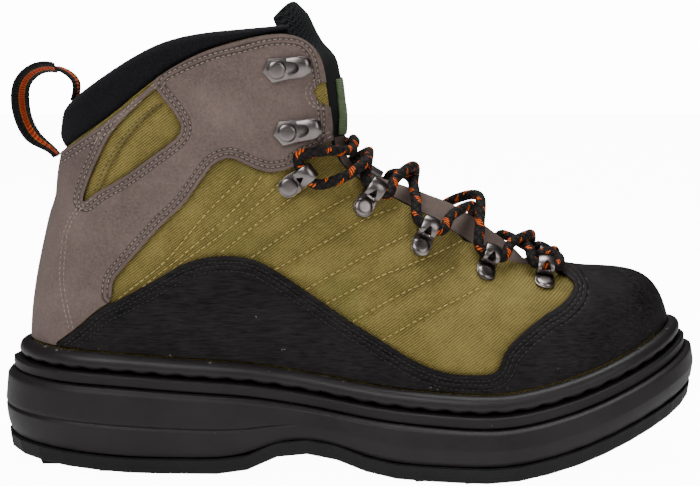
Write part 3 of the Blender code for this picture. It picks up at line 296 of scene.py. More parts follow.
class Wire:
    # one output of a shader node; sums on it add Math nodes
    def __init__(self, nodes, socket):
        self.nodes, self.socket = nodes, socket

    def maths(self, operation, *inputs):
        return self.nodes.node("ShaderNodeMath", {"operation": operation}, inputs)

    def __add__(self, other):
        return self.maths("ADD", self, other)

    def __sub__(self, other):
        return self.maths("SUBTRACT", self, other)

    def __rsub__(self, other):
        return self.maths("SUBTRACT", other, self)

    def __mul__(self, other):
        return self.maths("MULTIPLY", self, other)

    def __truediv__(self, other):
        return self.maths("DIVIDE", self, other)

    def __abs__(self):
        return self.maths("ABSOLUTE", self)

    def over(self, limit):
        return self.maths("GREATER_THAN", self, limit)

    def under(self, limit):
        return self.maths("LESS_THAN", self, limit)

    def sine(self):
        return self.maths("SINE", self)

    def fraction(self):
        return self.maths("FRACT", self)

    def most(self, other):
        return self.maths("MAXIMUM", self, other)

    __radd__ = __add__
    __rmul__ = __mul__


class Nodes:
    # a node tree that grows one node at a time
    def __init__(self, tree):
        self.tree = tree

    def feed(self, socket, value):
        if isinstance(value, Wire):
            self.tree.links.new(value.socket, socket)
        else:
            socket.default_value = value

    def node(self, kind, settings=None, values=(), output=0):
        node = self.tree.nodes.new(kind)
        for key, value in (settings or {}).items():
            setattr(node, key, value)
        for key, value in (values.items() if isinstance(values, dict) else enumerate(values)):
            self.feed(node.inputs[key], value)
        return Wire(self, node.outputs[output])

    def object(self):
        return self.node("ShaderNodeTexCoord", output="Object")

    def attribute(self, name):
        return self.node("ShaderNodeAttribute", {"attribute_name": name}, output="Fac")

    def axes(self, vector=None):
        split = self.tree.nodes.new("ShaderNodeSeparateXYZ")
        self.tree.links.new((vector or self.object()).socket, split.inputs[0])
        return [Wire(self, output) for output in split.outputs]

    def turned(self, turn, scale=(1, 1, 1)):
        return self.node("ShaderNodeMapping", {}, {"Vector": self.object(), "Rotation": turn, "Scale": scale})

    def noise(self, size, detail, roughness, vector=None):
        values = {"Vector": vector or self.object(), "Scale": 1 / size, "Detail": detail, "Roughness": roughness}
        return self.node("ShaderNodeTexNoise", {}, values)

    def cells(self, size):
        return self.node("ShaderNodeTexVoronoi", {}, {"Vector": self.object(), "Scale": 1 / size})

    def mix(self, factor, first, second):
        colours = [(*c, 1) if isinstance(c, tuple) else c for c in (first, second)]
        return self.node("ShaderNodeMix", {"data_type": "RGBA"}, {0: factor, 6: colours[0], 7: colours[1]}, output=2)

    def limited(self, value, low, high, toLow=0.0, toHigh=1.0):
        return self.node("ShaderNodeMapRange", {}, [value, low, high, toLow, toHigh])

    def toned(self, pattern, low, high, dark, light):
        return self.mix(self.limited(pattern, low, high), dark, light)


class Finish(Nodes):
    # a material built node by node
    def __init__(self, name, **constants):
        self.material = bpy.data.materials.new(name)
        self.material.use_nodes = True
        super().__init__(self.material.node_tree)
        self.shader = self.tree.nodes["Principled BSDF"]
        for key, value in constants.items():
            self.shader.inputs[key.replace("_", " ")].default_value = value

    def finish(self, colour, rough, height=None, depth=0.0005, strength=1.0):
        values = {"Base Color": colour, "Roughness": rough}
        if height:
            bump = {"Strength": strength, "Distance": depth, "Height": height}
            values["Normal"] = self.node("ShaderNodeBump", {}, bump)
        for key, value in values.items():
            self.feed(self.shader.inputs[key], value)
        return self.material


# Stitch rows: how far each runs from the edge that it follows; the finishes sink the same rows in their bump, and the
# nubuck paints shade along them
panelRowGaps = (0.0021, 0.0042)
toeRowGaps = (0.0024, 0.0041, 0.0064)


def waves(value, pitch):
    # a sine with one wave to each pitch
    return (value * (2 * math.pi / pitch)).sine()


def rowsAt(f, gap, places, width):
    # a soft line at each distance from the edge
    lines = [f.limited(abs(gap - place), 0.0, width, 1.0, 0.0) for place in places]
    mask = lines[0]
    for line in lines[1:]:
        mask = mask.most(line)
    return mask


def oliveCanvas():
    look = {"light": (0.410, 0.320, 0.088), "dark": (0.088, 0.067, 0.013), "green": (0.185, 0.185, 0.045),
            "shadow": (0.060, 0.040, 0.004), "yarn": 0.00105, "crossYarn": 0.8, "slant": 36, "patch": 0.018,
            "greenPatch": 0.045, "fleck": 0.0012, "depth": 0.00035}
    f = Finish("oliveCanvas", Specular_IOR_Level=0.3)
    x, y, z = f.axes(f.turned((0, math.radians(look["slant"]), 0)))
    rib = waves(z, look["yarn"])
    cross = ((x + y) * (2 * math.pi / look["yarn"] / look["crossYarn"]) + rib * 0.6).sine()
    weave = rib * 0.5 + cross * 0.32
    patch = f.noise(look["patch"], 5, 0.6)
    fleck = f.noise(look["fleck"], 3, 0.7)
    tone = weave * 0.36 + patch * 0.85 + fleck * 0.55 - 0.17
    colour = f.toned(tone, 0.18, 0.86, look["dark"], look["light"])
    greens = f.limited(f.noise(look["greenPatch"], 3, 0.5), 0.52, 0.72, 0.0, 0.55)
    colour = f.mix(greens, colour, look["green"])
    # painted shade: darker along the quilting and hem troughs, over the hem's band, and beside the overlays' edges
    shadow = (f.attribute("quiltAndHemShade") * 0.36).most(f.attribute("shade") * 0.6)
    colour = f.mix(shadow, colour, look["shadow"])
    return f.finish(colour, f.limited(fleck, 0.3, 0.7, 0.72, 0.9), weave + fleck * 0.6, look["depth"], 0.75)


def nubuck():
    look = {"light": (0.230, 0.166, 0.147), "dark": (0.092, 0.063, 0.055), "edge": (0.060, 0.040, 0.030),
            "sewn": (0.024, 0.016, 0.012), "cloud": 0.030, "nap": 0.0011, "pores": 0.0009, "grain": 0.0013,
            "edgeWidth": 0.0011, "rowWidth": 0.0008, "depth": 0.00025}
    f = Finish("taupeNubuck", Sheen_Weight=0.06, Sheen_Roughness=0.6, Specular_IOR_Level=0.3)
    cloud = f.noise(look["cloud"], 4, 0.6)
    nap = f.noise(look["nap"], 4, 0.7)
    pores = f.cells(look["pores"])
    gap = f.attribute("edgeGap")
    # painted shade: a dark line along the overlay's cut edge
    edge = f.limited(gap, 0.0, look["edgeWidth"], 0.35, 0.0)
    sewn = rowsAt(f, gap, panelRowGaps, look["rowWidth"])
    grain = f.noise(look["grain"], 5, 0.85)
    tone = cloud * 0.8 + nap * 0.6 + grain * 0.8
    colour = f.toned(tone, 0.82, 1.36, look["dark"], look["light"])
    colour = f.mix(edge, colour, look["edge"])
    # painted shade: the stitch rows darkened as if in shadow in their grooves
    colour = f.mix(sewn * 0.85, colour, look["sewn"])
    height = nap + pores * 0.4 + cloud * 0.5 - sewn * 2.2
    return f.finish(colour, f.limited(nap, 0.3, 0.7, 0.7, 0.92), height, look["depth"], 0.7)


def randHide():
    look = {"light": (0.0360, 0.0312, 0.0312), "dark": (0.0016, 0.0014, 0.0015), "dust": (0.20, 0.19, 0.18),
            "streak": 0.00075, "streakTurn": (0, 0.35, 0), "streakScale": (0.10, 0.5, 1.0), "cloud": 0.022,
            "speck": 0.0021, "dustHeight": 0.006, "rowWidth": 0.0009, "depth": 0.0004}
    f = Finish("blackBrushedHide", Specular_IOR_Level=0.14)
    streaks = f.noise(look["streak"], 6, 0.75, f.turned(look["streakTurn"], look["streakScale"]))
    cloud = f.noise(look["cloud"], 3, 0.5)
    specks = f.noise(look["speck"], 1, 0.4)
    near = f.limited(f.attribute("footGap"), 0.0, look["dustHeight"], 0.035, 0.0)
    dust = f.limited(specks + near, 0.80, 0.83)
    colour = f.toned(streaks * 1.2 + cloud * 0.35, 0.58, 1.08, look["dark"], look["light"])
    colour = f.mix(dust * 0.8, colour, look["dust"])
    sewn = rowsAt(f, f.attribute("edgeGap"), toeRowGaps, look["rowWidth"])
    height = streaks + cloud * 0.2 - sewn * 1.5
    return f.finish(colour, f.limited(streaks, 0.3, 0.7, 0.48, 0.78), height, look["depth"], 0.8)


def soleRubber(name, light, dark, rough=(0.42, 0.58), rim=False):
    # rim: more dust towards the piece's top, which its attribute "level" gives
    look = {"dust": (0.28, 0.27, 0.26), "grain": 0.0014, "cloud": 0.035, "speck": 0.0026, "depth": 0.0002}
    f = Finish(name, Specular_IOR_Level=0.30)
    grain = f.noise(look["grain"], 5, 0.7)
    cloud = f.noise(look["cloud"], 3, 0.55)
    specks = f.noise(look["speck"], 1, 0.4)
    if rim:
        specks = specks + f.limited(f.attribute("level"), 0.72, 1.0, 0.0, 0.22) * f.limited(grain, 0.35, 0.6)
    dust = f.limited(specks, 0.80, 0.86)
    colour = f.toned(cloud + grain * 0.4, 0.4, 1.0, dark, light)
    colour = f.mix(dust * 0.7, colour, look["dust"])
    return f.finish(colour, f.limited(grain, 0.3, 0.7, *rough), grain + cloud * 0.6, look["depth"], 0.5)


def neoprene():
    look = {"dark": (0.0018, 0.0018, 0.0026), "light": (0.0100, 0.0098, 0.0128), "knit": 0.0010, "fuzz": 0.0009,
            "cloud": 0.025, "depth": 0.0003}
    f = Finish("blackNeoprene", Sheen_Weight=0.03, Sheen_Roughness=0.5, Specular_IOR_Level=0.15)
    knit = f.cells(look["knit"])
    fuzz = f.noise(look["fuzz"], 3, 0.7)
    cloud = f.noise(look["cloud"], 3, 0.5)
    colour = f.toned(knit * 0.6 + fuzz * 0.5 + cloud * 0.3, 0.3, 0.9, look["dark"], look["light"])
    return f.finish(colour, 0.88, knit + fuzz * 0.5, look["depth"], 0.7)


def meshLining():
    look = {"dark": (0.006, 0.006, 0.007), "light": (0.030, 0.030, 0.033), "mesh": 0.0022, "fuzz": 0.0010,
            "depth": 0.0006}
    f = Finish("liningMesh", Sheen_Weight=0.2)
    cells = f.cells(look["mesh"])
    fuzz = f.noise(look["fuzz"], 3, 0.7)
    colour = f.toned(cells, 0.15, 0.6, look["dark"], look["light"])
    return f.finish(colour, 0.9, cells * -1 + fuzz * 0.3, look["depth"], 0.9)


def felt():
    look = {"dark": (0.028, 0.028, 0.031), "light": (0.075, 0.075, 0.078), "fuzz": 0.0015, "cloud": 0.020,
            "depth": 0.0005}
    f = Finish("footbedFelt", Sheen_Weight=0.3)
    fuzz = f.noise(look["fuzz"], 6, 0.75)
    cloud = f.noise(look["cloud"], 3, 0.5)
    colour = f.toned(fuzz + cloud * 0.5, 0.4, 1.0, look["dark"], look["light"])
    return f.finish(colour, 0.95, fuzz, look["depth"], 0.8)


def gunmetal():
    look = {"dark": (0.185, 0.160, 0.154), "light": (0.330, 0.295, 0.285), "brush": 0.0012,
            "brushTurn": (0, 0.4, 0), "brushScale": (0.25, 1.0, 1.0), "cloud": 0.007, "depth": 0.00004}
    f = Finish("brushedGunmetal", Metallic=1.0)
    brushed = f.noise(look["brush"], 4, 0.6, f.turned(look["brushTurn"], look["brushScale"]))
    cloud = f.noise(look["cloud"], 2, 0.5)
    colour = f.toned(cloud + brushed * 0.2, 0.30, 0.95, look["dark"], look["light"])
    return f.finish(colour, f.limited(brushed, 0.3, 0.7, 0.27, 0.36), brushed, look["depth"], 0.2)


def threadOf(name, colour, shade):
    look = {"twist": 0.0007, "depth": 0.0002}
    f = Finish(name, Sheen_Weight=0.2)
    twist = f.noise(look["twist"], 2, 0.6)
    return f.finish(f.toned(twist, 0.3, 0.7, shade, colour), 0.62, twist, look["depth"], 0.6)


def laceYarn():
    look = {"black": (0.0045, 0.0035, 0.0033), "grey": (0.016, 0.013, 0.012), "fleck": (1.0, 0.10, 0.0),
            "fleckLight": (1.0, 0.24, 0.01), "pitch": 0.0040, "fleckPitch": 0.0135, "ribPitch": 0.00115,
            "depth": 0.0005}
    f = Finish("laceYarn", Sheen_Weight=0.02, Specular_IOR_Level=0.2)
    run, turn = f.attribute("run"), f.attribute("turn")
    wind = run / look["pitch"]
    first = ((wind + turn * 4) * math.pi).sine()
    second = ((wind - turn * 4) * math.pi).sine()
    braid = abs(first) * abs(second)
    twist = run / look["fleckPitch"]
    lane = (turn + twist * 0.5).fraction()
    ribs = (run / look["ribPitch"] + turn * 3.0).fraction()
    wide = lane.under(0.20) * (twist * 2.0 + turn * 0.6).fraction().under(0.52)
    narrow = (lane - 0.5).over(0) * (lane - 0.5).under(0.13) * (twist * 2.0).fraction().under(0.36)
    marked = (wide * ribs.under(0.52)).most(narrow * ribs.under(0.52))
    colour = f.toned(braid, 0.0, 0.7, look["black"], look["grey"])
    fleck = f.mix(ribs * 1.2, look["fleck"], look["fleckLight"])
    return f.finish(f.mix(marked, colour, fleck), 0.72, braid + marked * 0.25, look["depth"], 0.9)


def pullWebbing():
    look = {"dark": (0.003, 0.0027, 0.003), "light": (0.014, 0.012, 0.013), "orange": (0.50, 0.035, 0.001),
            "orangeLight": (0.95, 0.085, 0.002), "edge": (0.80, 0.30, 0.01), "rib": 0.0013, "fuzz": 0.0010,
            "stripe": 0.0029, "stripeInside": 0.0022, "depth": 0.0003}
    f = Finish("loopWebbing", Sheen_Weight=0.04, Specular_IOR_Level=0.25)
    across = abs(f.axes()[1])
    ribs = waves(f.attribute("run"), look["rib"])
    fuzz = f.noise(look["fuzz"], 3, 0.7)
    stripe = across.under(look["stripe"])
    thin = across.over(look["stripeInside"]) * stripe
    colour = f.toned(fuzz + ribs * 0.2, 0.2, 0.9, look["dark"], look["light"])
    orange = f.toned(ribs * 0.5 + fuzz, 0.1, 1.2, look["orange"], look["orangeLight"])
    colour = f.mix(stripe, colour, orange)
    colour = f.mix(thin * 0.7, colour, look["edge"])
    return f.finish(colour, 0.78, ribs + fuzz * 0.5, look["depth"], 0.8)


def tongueCloth():
    # zone: 0 nubuck below, 1 black cloth, 2 the shin end's binding; side: 1 on the black flanks
    look = {"taupeDark": (0.098, 0.069, 0.060), "taupe": (0.250, 0.190, 0.166), "black": (0.0025, 0.0025, 0.003),
            "blackLight": (0.011, 0.011, 0.013), "binding": (0.0016, 0.0018, 0.0020),
            "bindingLight": (0.0180, 0.0200, 0.0215), "fine": 0.0011, "cloud": 0.025, "herring": 0.0018,
            "herringSlant": 0.003, "herringColumns": 400, "depth": 0.0003}
    f = Finish("tongueCloth", Sheen_Weight=0.02, Specular_IOR_Level=0.15)
    x, y, z = f.axes()
    zone, side = f.attribute("zone"), f.attribute("side")
    fine = f.noise(look["fine"], 4, 0.7)
    cloud = f.noise(look["cloud"], 4, 0.6)
    taupe = f.toned(cloud * 0.9 + fine * 0.65 - 0.33, 0, 1, look["taupeDark"], look["taupe"])
    zigzag = abs((y * look["herringColumns"]).fraction() - 0.5) * look["herringSlant"]
    herring = waves(z + zigzag, look["herring"])
    black = f.toned(fine, 0.3, 0.8, look["black"], look["blackLight"])
    binding = f.toned(herring, -0.4, 0.8, look["binding"], look["bindingLight"])
    colour = f.mix(zone.over(0.5), taupe, black)
    colour = f.mix(side.over(0.5), colour, black)
    colour = f.mix(zone.over(1.5), colour, binding)
    return f.finish(colour, 0.85, fine + herring * zone.over(1.5) * 0.8, look["depth"], 0.6)


def labelWeave():
    look = {"dark": (0.060, 0.105, 0.028), "light": (0.150, 0.235, 0.070), "rib": 0.0009, "fuzz": 0.0009,
            "depth": 0.0002}
    f = Finish("labelWeave", Sheen_Weight=0.15)
    ribs = waves(f.axes()[2], look["rib"])
    fuzz = f.noise(look["fuzz"], 3, 0.7)
    colour = f.toned(ribs * 0.4 + fuzz, 0.1, 1.1, look["dark"], look["light"])
    return f.finish(colour, 0.7, ribs + fuzz * 0.6, look["depth"], 0.7)


canvasFinish, nubuckFinish, hideFinish = oliveCanvas(), nubuck(), randHide()
blockFinish = soleRubber("blockRubber", (0.0260, 0.0215, 0.0225), (0.0110, 0.0092, 0.0100))
randFinish = soleRubber("randRubber", (0.0300, 0.0262, 0.0270), (0.0140, 0.0120, 0.0128), (0.34, 0.48), rim=True)
weltFinish = soleRubber("weltRubber", (0.0220, 0.0185, 0.0190), (0.0100, 0.0085, 0.0090))
treadFinish = soleRubber("treadRubber", (0.018, 0.017, 0.018), (0.008, 0.0075, 0.008), (0.6, 0.8))
neopreneFinish, liningFinish, feltFinish, metalFinish = neoprene(), meshLining(), felt(), gunmetal()
yarnFinish = laceYarn()
taupeThread = threadOf("taupeThread", (0.46, 0.38, 0.32), (0.20, 0.15, 0.12))
blackThread = threadOf("blackThread", (0.018, 0.016, 0.016), (0.005, 0.0045, 0.0045))
oliveThread = threadOf("oliveThread", (0.86, 0.68, 0.22), (0.38, 0.27, 0.05))
darkOliveThread = threadOf("darkOliveThread", (0.100, 0.078, 0.022), (0.045, 0.034, 0.010))
print("finishes")


# Lace hardware: each fitting's seat is read from its CAD node

fitting = {"plate": 0.0009, "rivet": 0.0084, "rivetHeight": 0.0016, "metal": 0.0010, "across": 8, "sharp": 35}
# the rivet's rim and dome: how much narrower each step is, and its share of the height
rivetSteps = ((0.0, 0.40), (0.10, 0.28), (0.14, 0.17), (0.20, 0.09), (0.22, 0.04))
loop = {"back": -0.0046, "reach": 0.0098, "bore": 0.0064, "width": 0.0076, "plateRim": 0.0005, "hoodReach": 0.0054,
        "hoodDome": 0.0007, "hoodTaper": 0.14, "cutReach": 0.0034, "cutRound": 0.0006, "plateRound": 0.00022}
hook = {"back": -0.0062, "length": 0.0215, "width": 0.0106, "height": 0.0062, "root": 0.0020, "lift": 0.0001,
        "billReach": 0.0104, "billWidth": 0.0091, "billDome": 0.0011, "billDrop": 0.0009, "notchLength": 0.0050,
        "notchWidth": 0.0032, "notchDepth": 0.0052, "plateRound": 0.00025,
        # the plate's two corners near the bend: shares of its way there and of its half width
        "corners": ((0.72, 0.86), (1.0, 0.62))}
seatSearch = {"merge": 1e-6, "sameTurn": 0.9995, "sameHeight": 5e-5, "tip": 0.985}


def seatOf(node, back):
    # a frame with its origin under the rivet, +X along the plate and +Z out of the boot
    work = bmesh.new()
    work.from_mesh(nodes[node].data)
    bmesh.ops.remove_doubles(work, verts=work.verts, dist=seatSearch["merge"])
    normals = np.array([face.normal for face in work.faces])
    areas = np.array([face.calc_area() for face in work.faces])
    heights = np.array([face.calc_center_median().dot(face.normal) for face in work.faces])
    best, flat = 0, None
    for normal, height in zip(normals, heights):
        same = (normals @ normal > seatSearch["sameTurn"]) & (abs(heights - height) < seatSearch["sameHeight"])
        if areas[same].sum() > best:
            best, flat = areas[same].sum(), same
    out = -Vector(normals[flat].mean(axis=0)).normalized()
    bottom = {vertex for face, chosen in zip(work.faces, flat) if chosen for vertex in face.verts}
    bottom = np.array([vertex.co for vertex in bottom])
    points = np.array([vertex.co for vertex in work.verts])
    work.free()
    middle = bottom.mean(axis=0)
    spread = points - middle
    spread -= np.outer(spread @ np.array(out), np.array(out))
    reach = np.linalg.norm(spread, axis=1)
    ahead = Vector(spread[reach > reach.max() * seatSearch["tip"]].mean(axis=0)).normalized()
    start = ((bottom - middle) @ np.array(ahead)).min()
    origin = Vector(middle) + ahead * (start - back)
    frameOf = Matrix((ahead, out.cross(ahead), out)).transposed().to_4x4()
    frameOf.translation = origin
    return frameOf


sideNames = {"outer": -1, "inner": 1}
loopSeats = {(side, n): seatOf(f"lace_loop_{side}_{n}", loop["back"]) for side in sideNames for n in range(1, 6)}
hookSeats = {(side, n): seatOf(f"speed_hook_{side}_{n}", hook["back"]) for side in sideNames for n in (1, 2)}


# Lace: one round cord through the loops, crossing over the tongue, and a short tied piece over the throat

lacing = {
    "diameter": 0.0048, "lead": 0.0056, "edgeShare": 0.30, "edgeClimb": 0.0030, "barTurn": 0.0042,
    "sides": 14, "spacing": 0.0011,
    # where the two runs cross the tongue, from the lower loops up
    "outerCrossings": ((0.1620, 0.0068, 0.1000), (0.1389, 0.0050, 0.1178), (0.1098, 0.0031, 0.1313),
                       (0.0880, 0.0018, 0.1377)),
    "innerCrossings": ((0.1656, 0.0062, 0.1040), (0.1419, 0.0044, 0.1223), (0.1116, 0.0029, 0.1364),
                       (0.0907, 0.0017, 0.1424)),
    "bar": (0.1707, 0.0075, 0.0942),
    "knotPlace": (0.0890, 0.0024, 0.1454),
    "topGuides": ((0.0000, 0.0265, -0.0050), (-0.0100, 0.0358, -0.0108)),
    "endGuides": ((-0.0295, 0.0412, -0.0010), (-0.0235, 0.0418, 0.0005), (-0.0165, 0.0385, 0.0012),
                  (-0.0095, 0.0300, 0.0004), (-0.0060, 0.0190, 0.0000), (-0.0060, 0.0147, 0.0000)),
    "knotGuides": ((-0.0060, -0.0140, 0.0000), (-0.0060, -0.0105, 0.0001), (-0.0048, -0.0045, 0.0030),
                   (-0.0050, 0.0005, 0.0012), (-0.0055, 0.0050, 0.0032), (-0.0060, 0.0105, 0.0001),
                   (-0.0060, 0.0140, 0.0000)),
}


def guidePoint(side, guide):
    x, y, z = lacing["knotPlace"]
    return Vector((x + guide[0], y + side * guide[1], z + guide[2]))


def loopPassage(sideName, number):
    seat = loopSeats[sideName, number]
    middle = seat @ Vector((loop["reach"], 0, loop["bore"] / 2 + fitting["metal"]))
    heelwards = seat.col[1].to_3d() * -sideNames[sideName]
    return [middle - heelwards * lacing["lead"], middle + heelwards * lacing["lead"]]


def laceRun(sideName, crossings):
    route = []
    climb = Vector((0, 0, lacing["edgeClimb"]))
    for number, over in zip((5, 4, 3, 2, 1), (*crossings, None)):
        route += loopPassage(sideName, number)
        if over is None:
            break
        over = Vector(over)
        route += [route[-1].lerp(over, lacing["edgeShare"]) + climb, over]
        sideName = "inner" if sideName == "outer" else "outer"
        if number == 2:
            route += [guidePoint(sideNames[sideName], guide) for guide in lacing["topGuides"]]
        else:
            route.append(loopPassage(sideName, number - 1)[0].lerp(over, lacing["edgeShare"]) + climb)
    return route + [guidePoint(sideNames[sideName], guide) for guide in lacing["endGuides"]]


def cordMesh(name, path, radius, sides):
    # a round tube along the path, with its run and turn kept for the braid
    path = np.asarray(path, float)
    ahead = np.gradient(path, axis=0)
    ahead /= np.linalg.norm(ahead, axis=1)[:, None]
    across = np.cross(ahead[0], (0, 0, 1.0))
    rings, acrosses = [], []
    for way in ahead:
        across = across - way * (across @ way)
        across /= np.linalg.norm(across)
        acrosses.append(across)
    turns = np.linspace(0, 2 * math.pi, sides, endpoint=False)
    for place, way, side in zip(path, ahead, acrosses):
        up = np.cross(way, side)
        rings.append(place + radius * (np.outer(np.cos(turns), side) + np.outer(np.sin(turns), up)))
    points = np.vstack(rings + [path[:1] - ahead[:1] * radius * 0.3, path[-1:] + ahead[-1:] * radius * 0.3])
    count = len(path)
    faces = tubeFaces(count, sides)
    faces += [((j + 1) % sides, j, count * sides) for j in range(sides)]
    last = (count - 1) * sides
    faces += [(last + j, last + (j + 1) % sides, count * sides + 1) for j in range(sides)]
    mesh = bpy.data.meshes.new(name)
    mesh.from_pydata([tuple(point) for point in points], [], faces)
    thing = take(addObject(name, mesh))
    turnOutwards()
    lengths = runAlong(path)
    corners = np.empty(len(mesh.loops), int)
    mesh.loops.foreach_get("vertex_index", corners)
    run = np.concatenate([np.repeat(lengths, sides), [0.0, lengths[-1]]])[corners]
    turn = np.concatenate([np.tile(turns / (2 * math.pi), count), [0.0, 0.0]])[corners]
    for polygon in mesh.polygons:  # the last column of faces runs on to a full turn
        part = turn[polygon.loop_start:polygon.loop_start + polygon.loop_total]
        if part.max() - part.min() > 0.5:
            part[part < 0.5] += 1
    for key, values in (("run", run), ("turn", turn)):
        layer = mesh.attributes.new(key, "FLOAT", "CORNER")
        layer.data.foreach_set("value", values.astype(np.float32))
    return thing, float(lengths[-1])


firstRun = laceRun("outer", lacing["outerCrossings"])
secondRun = laceRun("inner", lacing["innerCrossings"])
bar = Vector(lacing["bar"])
turnedOut = Vector((lacing["barTurn"], 0, lacing["barTurn"] / 2))
turns = [(run[0] + bar) / 2 + turnedOut for run in (firstRun, secondRun)]
laceRoute = firstRun[::-1] + [turns[0], bar, turns[1]] + secondRun
knotRoute = [guidePoint(1, guide) for guide in lacing["knotGuides"]]
for name, node, route, digits in (("laceCord", "lace", laceRoute, 2), ("laceKnot", "lace_knot", knotRoute, 3)):
    path = smoothLine([tuple(point) for point in route], lacing["spacing"])
    cord, length = cordMesh(name, path, lacing["diameter"] / 2, lacing["sides"])
    dress(cord, yarnFinish, node, slot="lace_cord")
    print(name, round(length, 4))


# Fittings, modelled flat and put on their seats

def flatPlate(name, outline, rounding):
    thing = prism(name, [(x, y, 0) for x, y in outline], (0, 0, fitting["plate"]))
    soften(thing, rounding, 2, 20)
    return thing


def rivetHead(name):
    # a low dome with a turned-down rim
    take()
    bpy.ops.mesh.primitive_circle_add(vertices=24, radius=fitting["rivet"] / 2, fill_type="NGON",
                                      location=(0, 0, fitting["plate"] * 0.6))
    thing = bpy.context.object
    thing.name = thing.data.name = name
    bpy.ops.object.transform_apply(location=True)
    bpy.ops.object.mode_set(mode="EDIT")
    bpy.ops.mesh.select_all(action="SELECT")
    for narrower, share in rivetSteps:
        bpy.ops.mesh.extrude_region_move(TRANSFORM_OT_translate={"value": (0, 0, fitting["rivetHeight"] * share)})
        bpy.ops.transform.resize(value=(1 - narrower, 1 - narrower, 1))
    turnOutwards()
    return thing


def bentStrip(name, profile, widths, domes, closed=False):
    # a strip of sheet metal that follows the profile in X and Z, with its own width and dome at each step
    rows, across, metal = len(profile), fitting["across"], fitting["metal"]
    take()
    bpy.ops.mesh.primitive_grid_add(x_subdivisions=rows - 1, y_subdivisions=across, size=0.01)
    thing = bpy.context.object
    thing.name = thing.data.name = name
    order = sorted(thing.data.vertices, key=lambda vertex: (round(vertex.co.y, 6), round(vertex.co.x, 6)))
    for place, vertex in enumerate(order):
        column, row = divmod(place, rows)
        share = column / across - 0.5
        vertex.co = (profile[row][0], share * widths[row], profile[row][1] - domes[row] * 4 * share * share)
    if closed:
        modify(thing, "WELD", merge_threshold=1e-5)
    take(thing)
    turnOutwards()
    modify(thing, "SOLIDIFY", thickness=metal, offset=0)
    soften(thing, metal * 0.3, 2, 50)
    return thing


def cutTool(sides, radius, depth, place, **settings):
    take()
    bpy.ops.mesh.primitive_cylinder_add(vertices=sides, radius=radius, depth=depth, location=place, **settings)
    bpy.ops.object.transform_apply(location=True, rotation=True, scale=True)
    return bpy.context.object


def join(name, things):
    take()
    for thing in things:
        thing.select_set(True)
    bpy.context.view_layer.objects.active = things[0]
    bpy.ops.object.join()
    things[0].name = things[0].data.name = name
    return things[0]


def laceLoopModel():
    # a riveted plate under a strap that folds over the lace and comes down behind the rivet
    wide, narrow, reach = fitting["rivet"] / 2 + loop["plateRim"], loop["width"] / 2, loop["reach"]
    turns = [math.radians(turn) for turn in range(110, 251, 14)]
    outline = [(reach, narrow * 0.94), (wide * 0.5, wide * 0.97)]
    outline += [(wide * math.cos(turn), wide * math.sin(turn)) for turn in turns]
    outline += [(wide * 0.5, -wide * 0.97), (reach, -narrow * 0.94)]
    plate = flatPlate("loopPlate", outline, loop["plateRound"])
    radius = (loop["bore"] + fitting["metal"]) / 2
    middle = loop["bore"] / 2 + fitting["metal"]
    profile, widths, domes = [], [], []
    for turn in range(-90, 271, 12):
        lean, rise = math.cos(math.radians(turn)), math.sin(math.radians(turn))
        profile.append((reach + lean * (radius if lean > 0 else loop["hoodReach"]), middle + radius * rise))
        widths.append(loop["width"] * (1.0 if lean < 0 else 1 - loop["hoodTaper"] * lean))
        domes.append(loop["hoodDome"] * max(rise, 0))
    hood = bentStrip("loopHood", profile, widths, domes, closed=True)
    cut = cutTool(3, loop["cutReach"], middle * 2, (reach - loop["hoodReach"], 0, middle * 2),
                  rotation=(0, 0, -math.pi / 2))
    soften(cut, loop["cutRound"], 3, 80)
    cutBy(hood, cut)
    return join("laceLoop", [plate, hood, rivetHead("loopRivet")])


def speedHookModel():
    # a pointed plate whose far end turns back over itself in a domed bill with a round notch
    back, half, height, metal = hook["back"], hook["width"] / 2, hook["height"], fitting["metal"]
    radius = (height - metal) / 2
    nose = hook["length"] + back
    front = nose - radius - metal / 2
    outline = [(back, 0), (back * 0.45, half), *((front * x, half * y) for x, y in hook["corners"]),
               (front + radius * 0.5, half * 0.34)]
    outline += [(x, -y) for x, y in outline[:0:-1]]
    plate = flatPlate("hookPlate", outline[::-1], hook["plateRound"])
    middle = height / 2 + hook["lift"]
    bends = [math.radians(turn) for turn in range(-90, 91, 10)]
    profile = [(front - hook["root"], middle - radius)]
    profile += [(front + radius * math.cos(turn), middle + radius * math.sin(turn)) for turn in bends]
    reach = hook["billReach"] - radius
    shares = [k / 9 for k in range(1, 10)]
    profile += [(front - reach * share, middle + radius - hook["billDrop"] * share * share) for share in shares]
    rounding = front - radius * 1.2
    widths, domes = [], []
    for x, z in profile:
        share = max((x - rounding) / (nose - rounding + 0.0004), 0)
        widths.append(hook["billWidth"] * math.sqrt(max(1 - share * share, 0.12)))
        domes.append(hook["billDome"] * ease(middle - radius, middle + radius, z))
    bill = bentStrip("hookBill", profile, widths, domes)
    cutBy(bill, cutTool(48, hook["notchWidth"], hook["notchDepth"], (front - reach, 0, height),
                        scale=(hook["notchLength"] / hook["notchWidth"], 1, 1)))
    return join("speedHook", [plate, bill, rivetHead("hookRivet")])


def placeCopies(model, seats, nodeName):
    for (sideName, number), seat in seats.items():
        mesh = model.data.copy()
        mesh.transform(seat)
        node = f"{nodeName}_{sideName}_{number}"
        piece = addObject(f"{model.name}_{sideName}_{number}", mesh)
        dress(piece, metalFinish, node, slot="lace_hardware", angle=fitting["sharp"])
    bpy.data.objects.remove(model)


placeCopies(laceLoopModel(), loopSeats, "lace_loop")
placeCopies(speedHookModel(), hookSeats, "speed_hook")
print("hardware")


# Upper: the outside of the CAD shell, made smooth, carries the canvas and both overlays

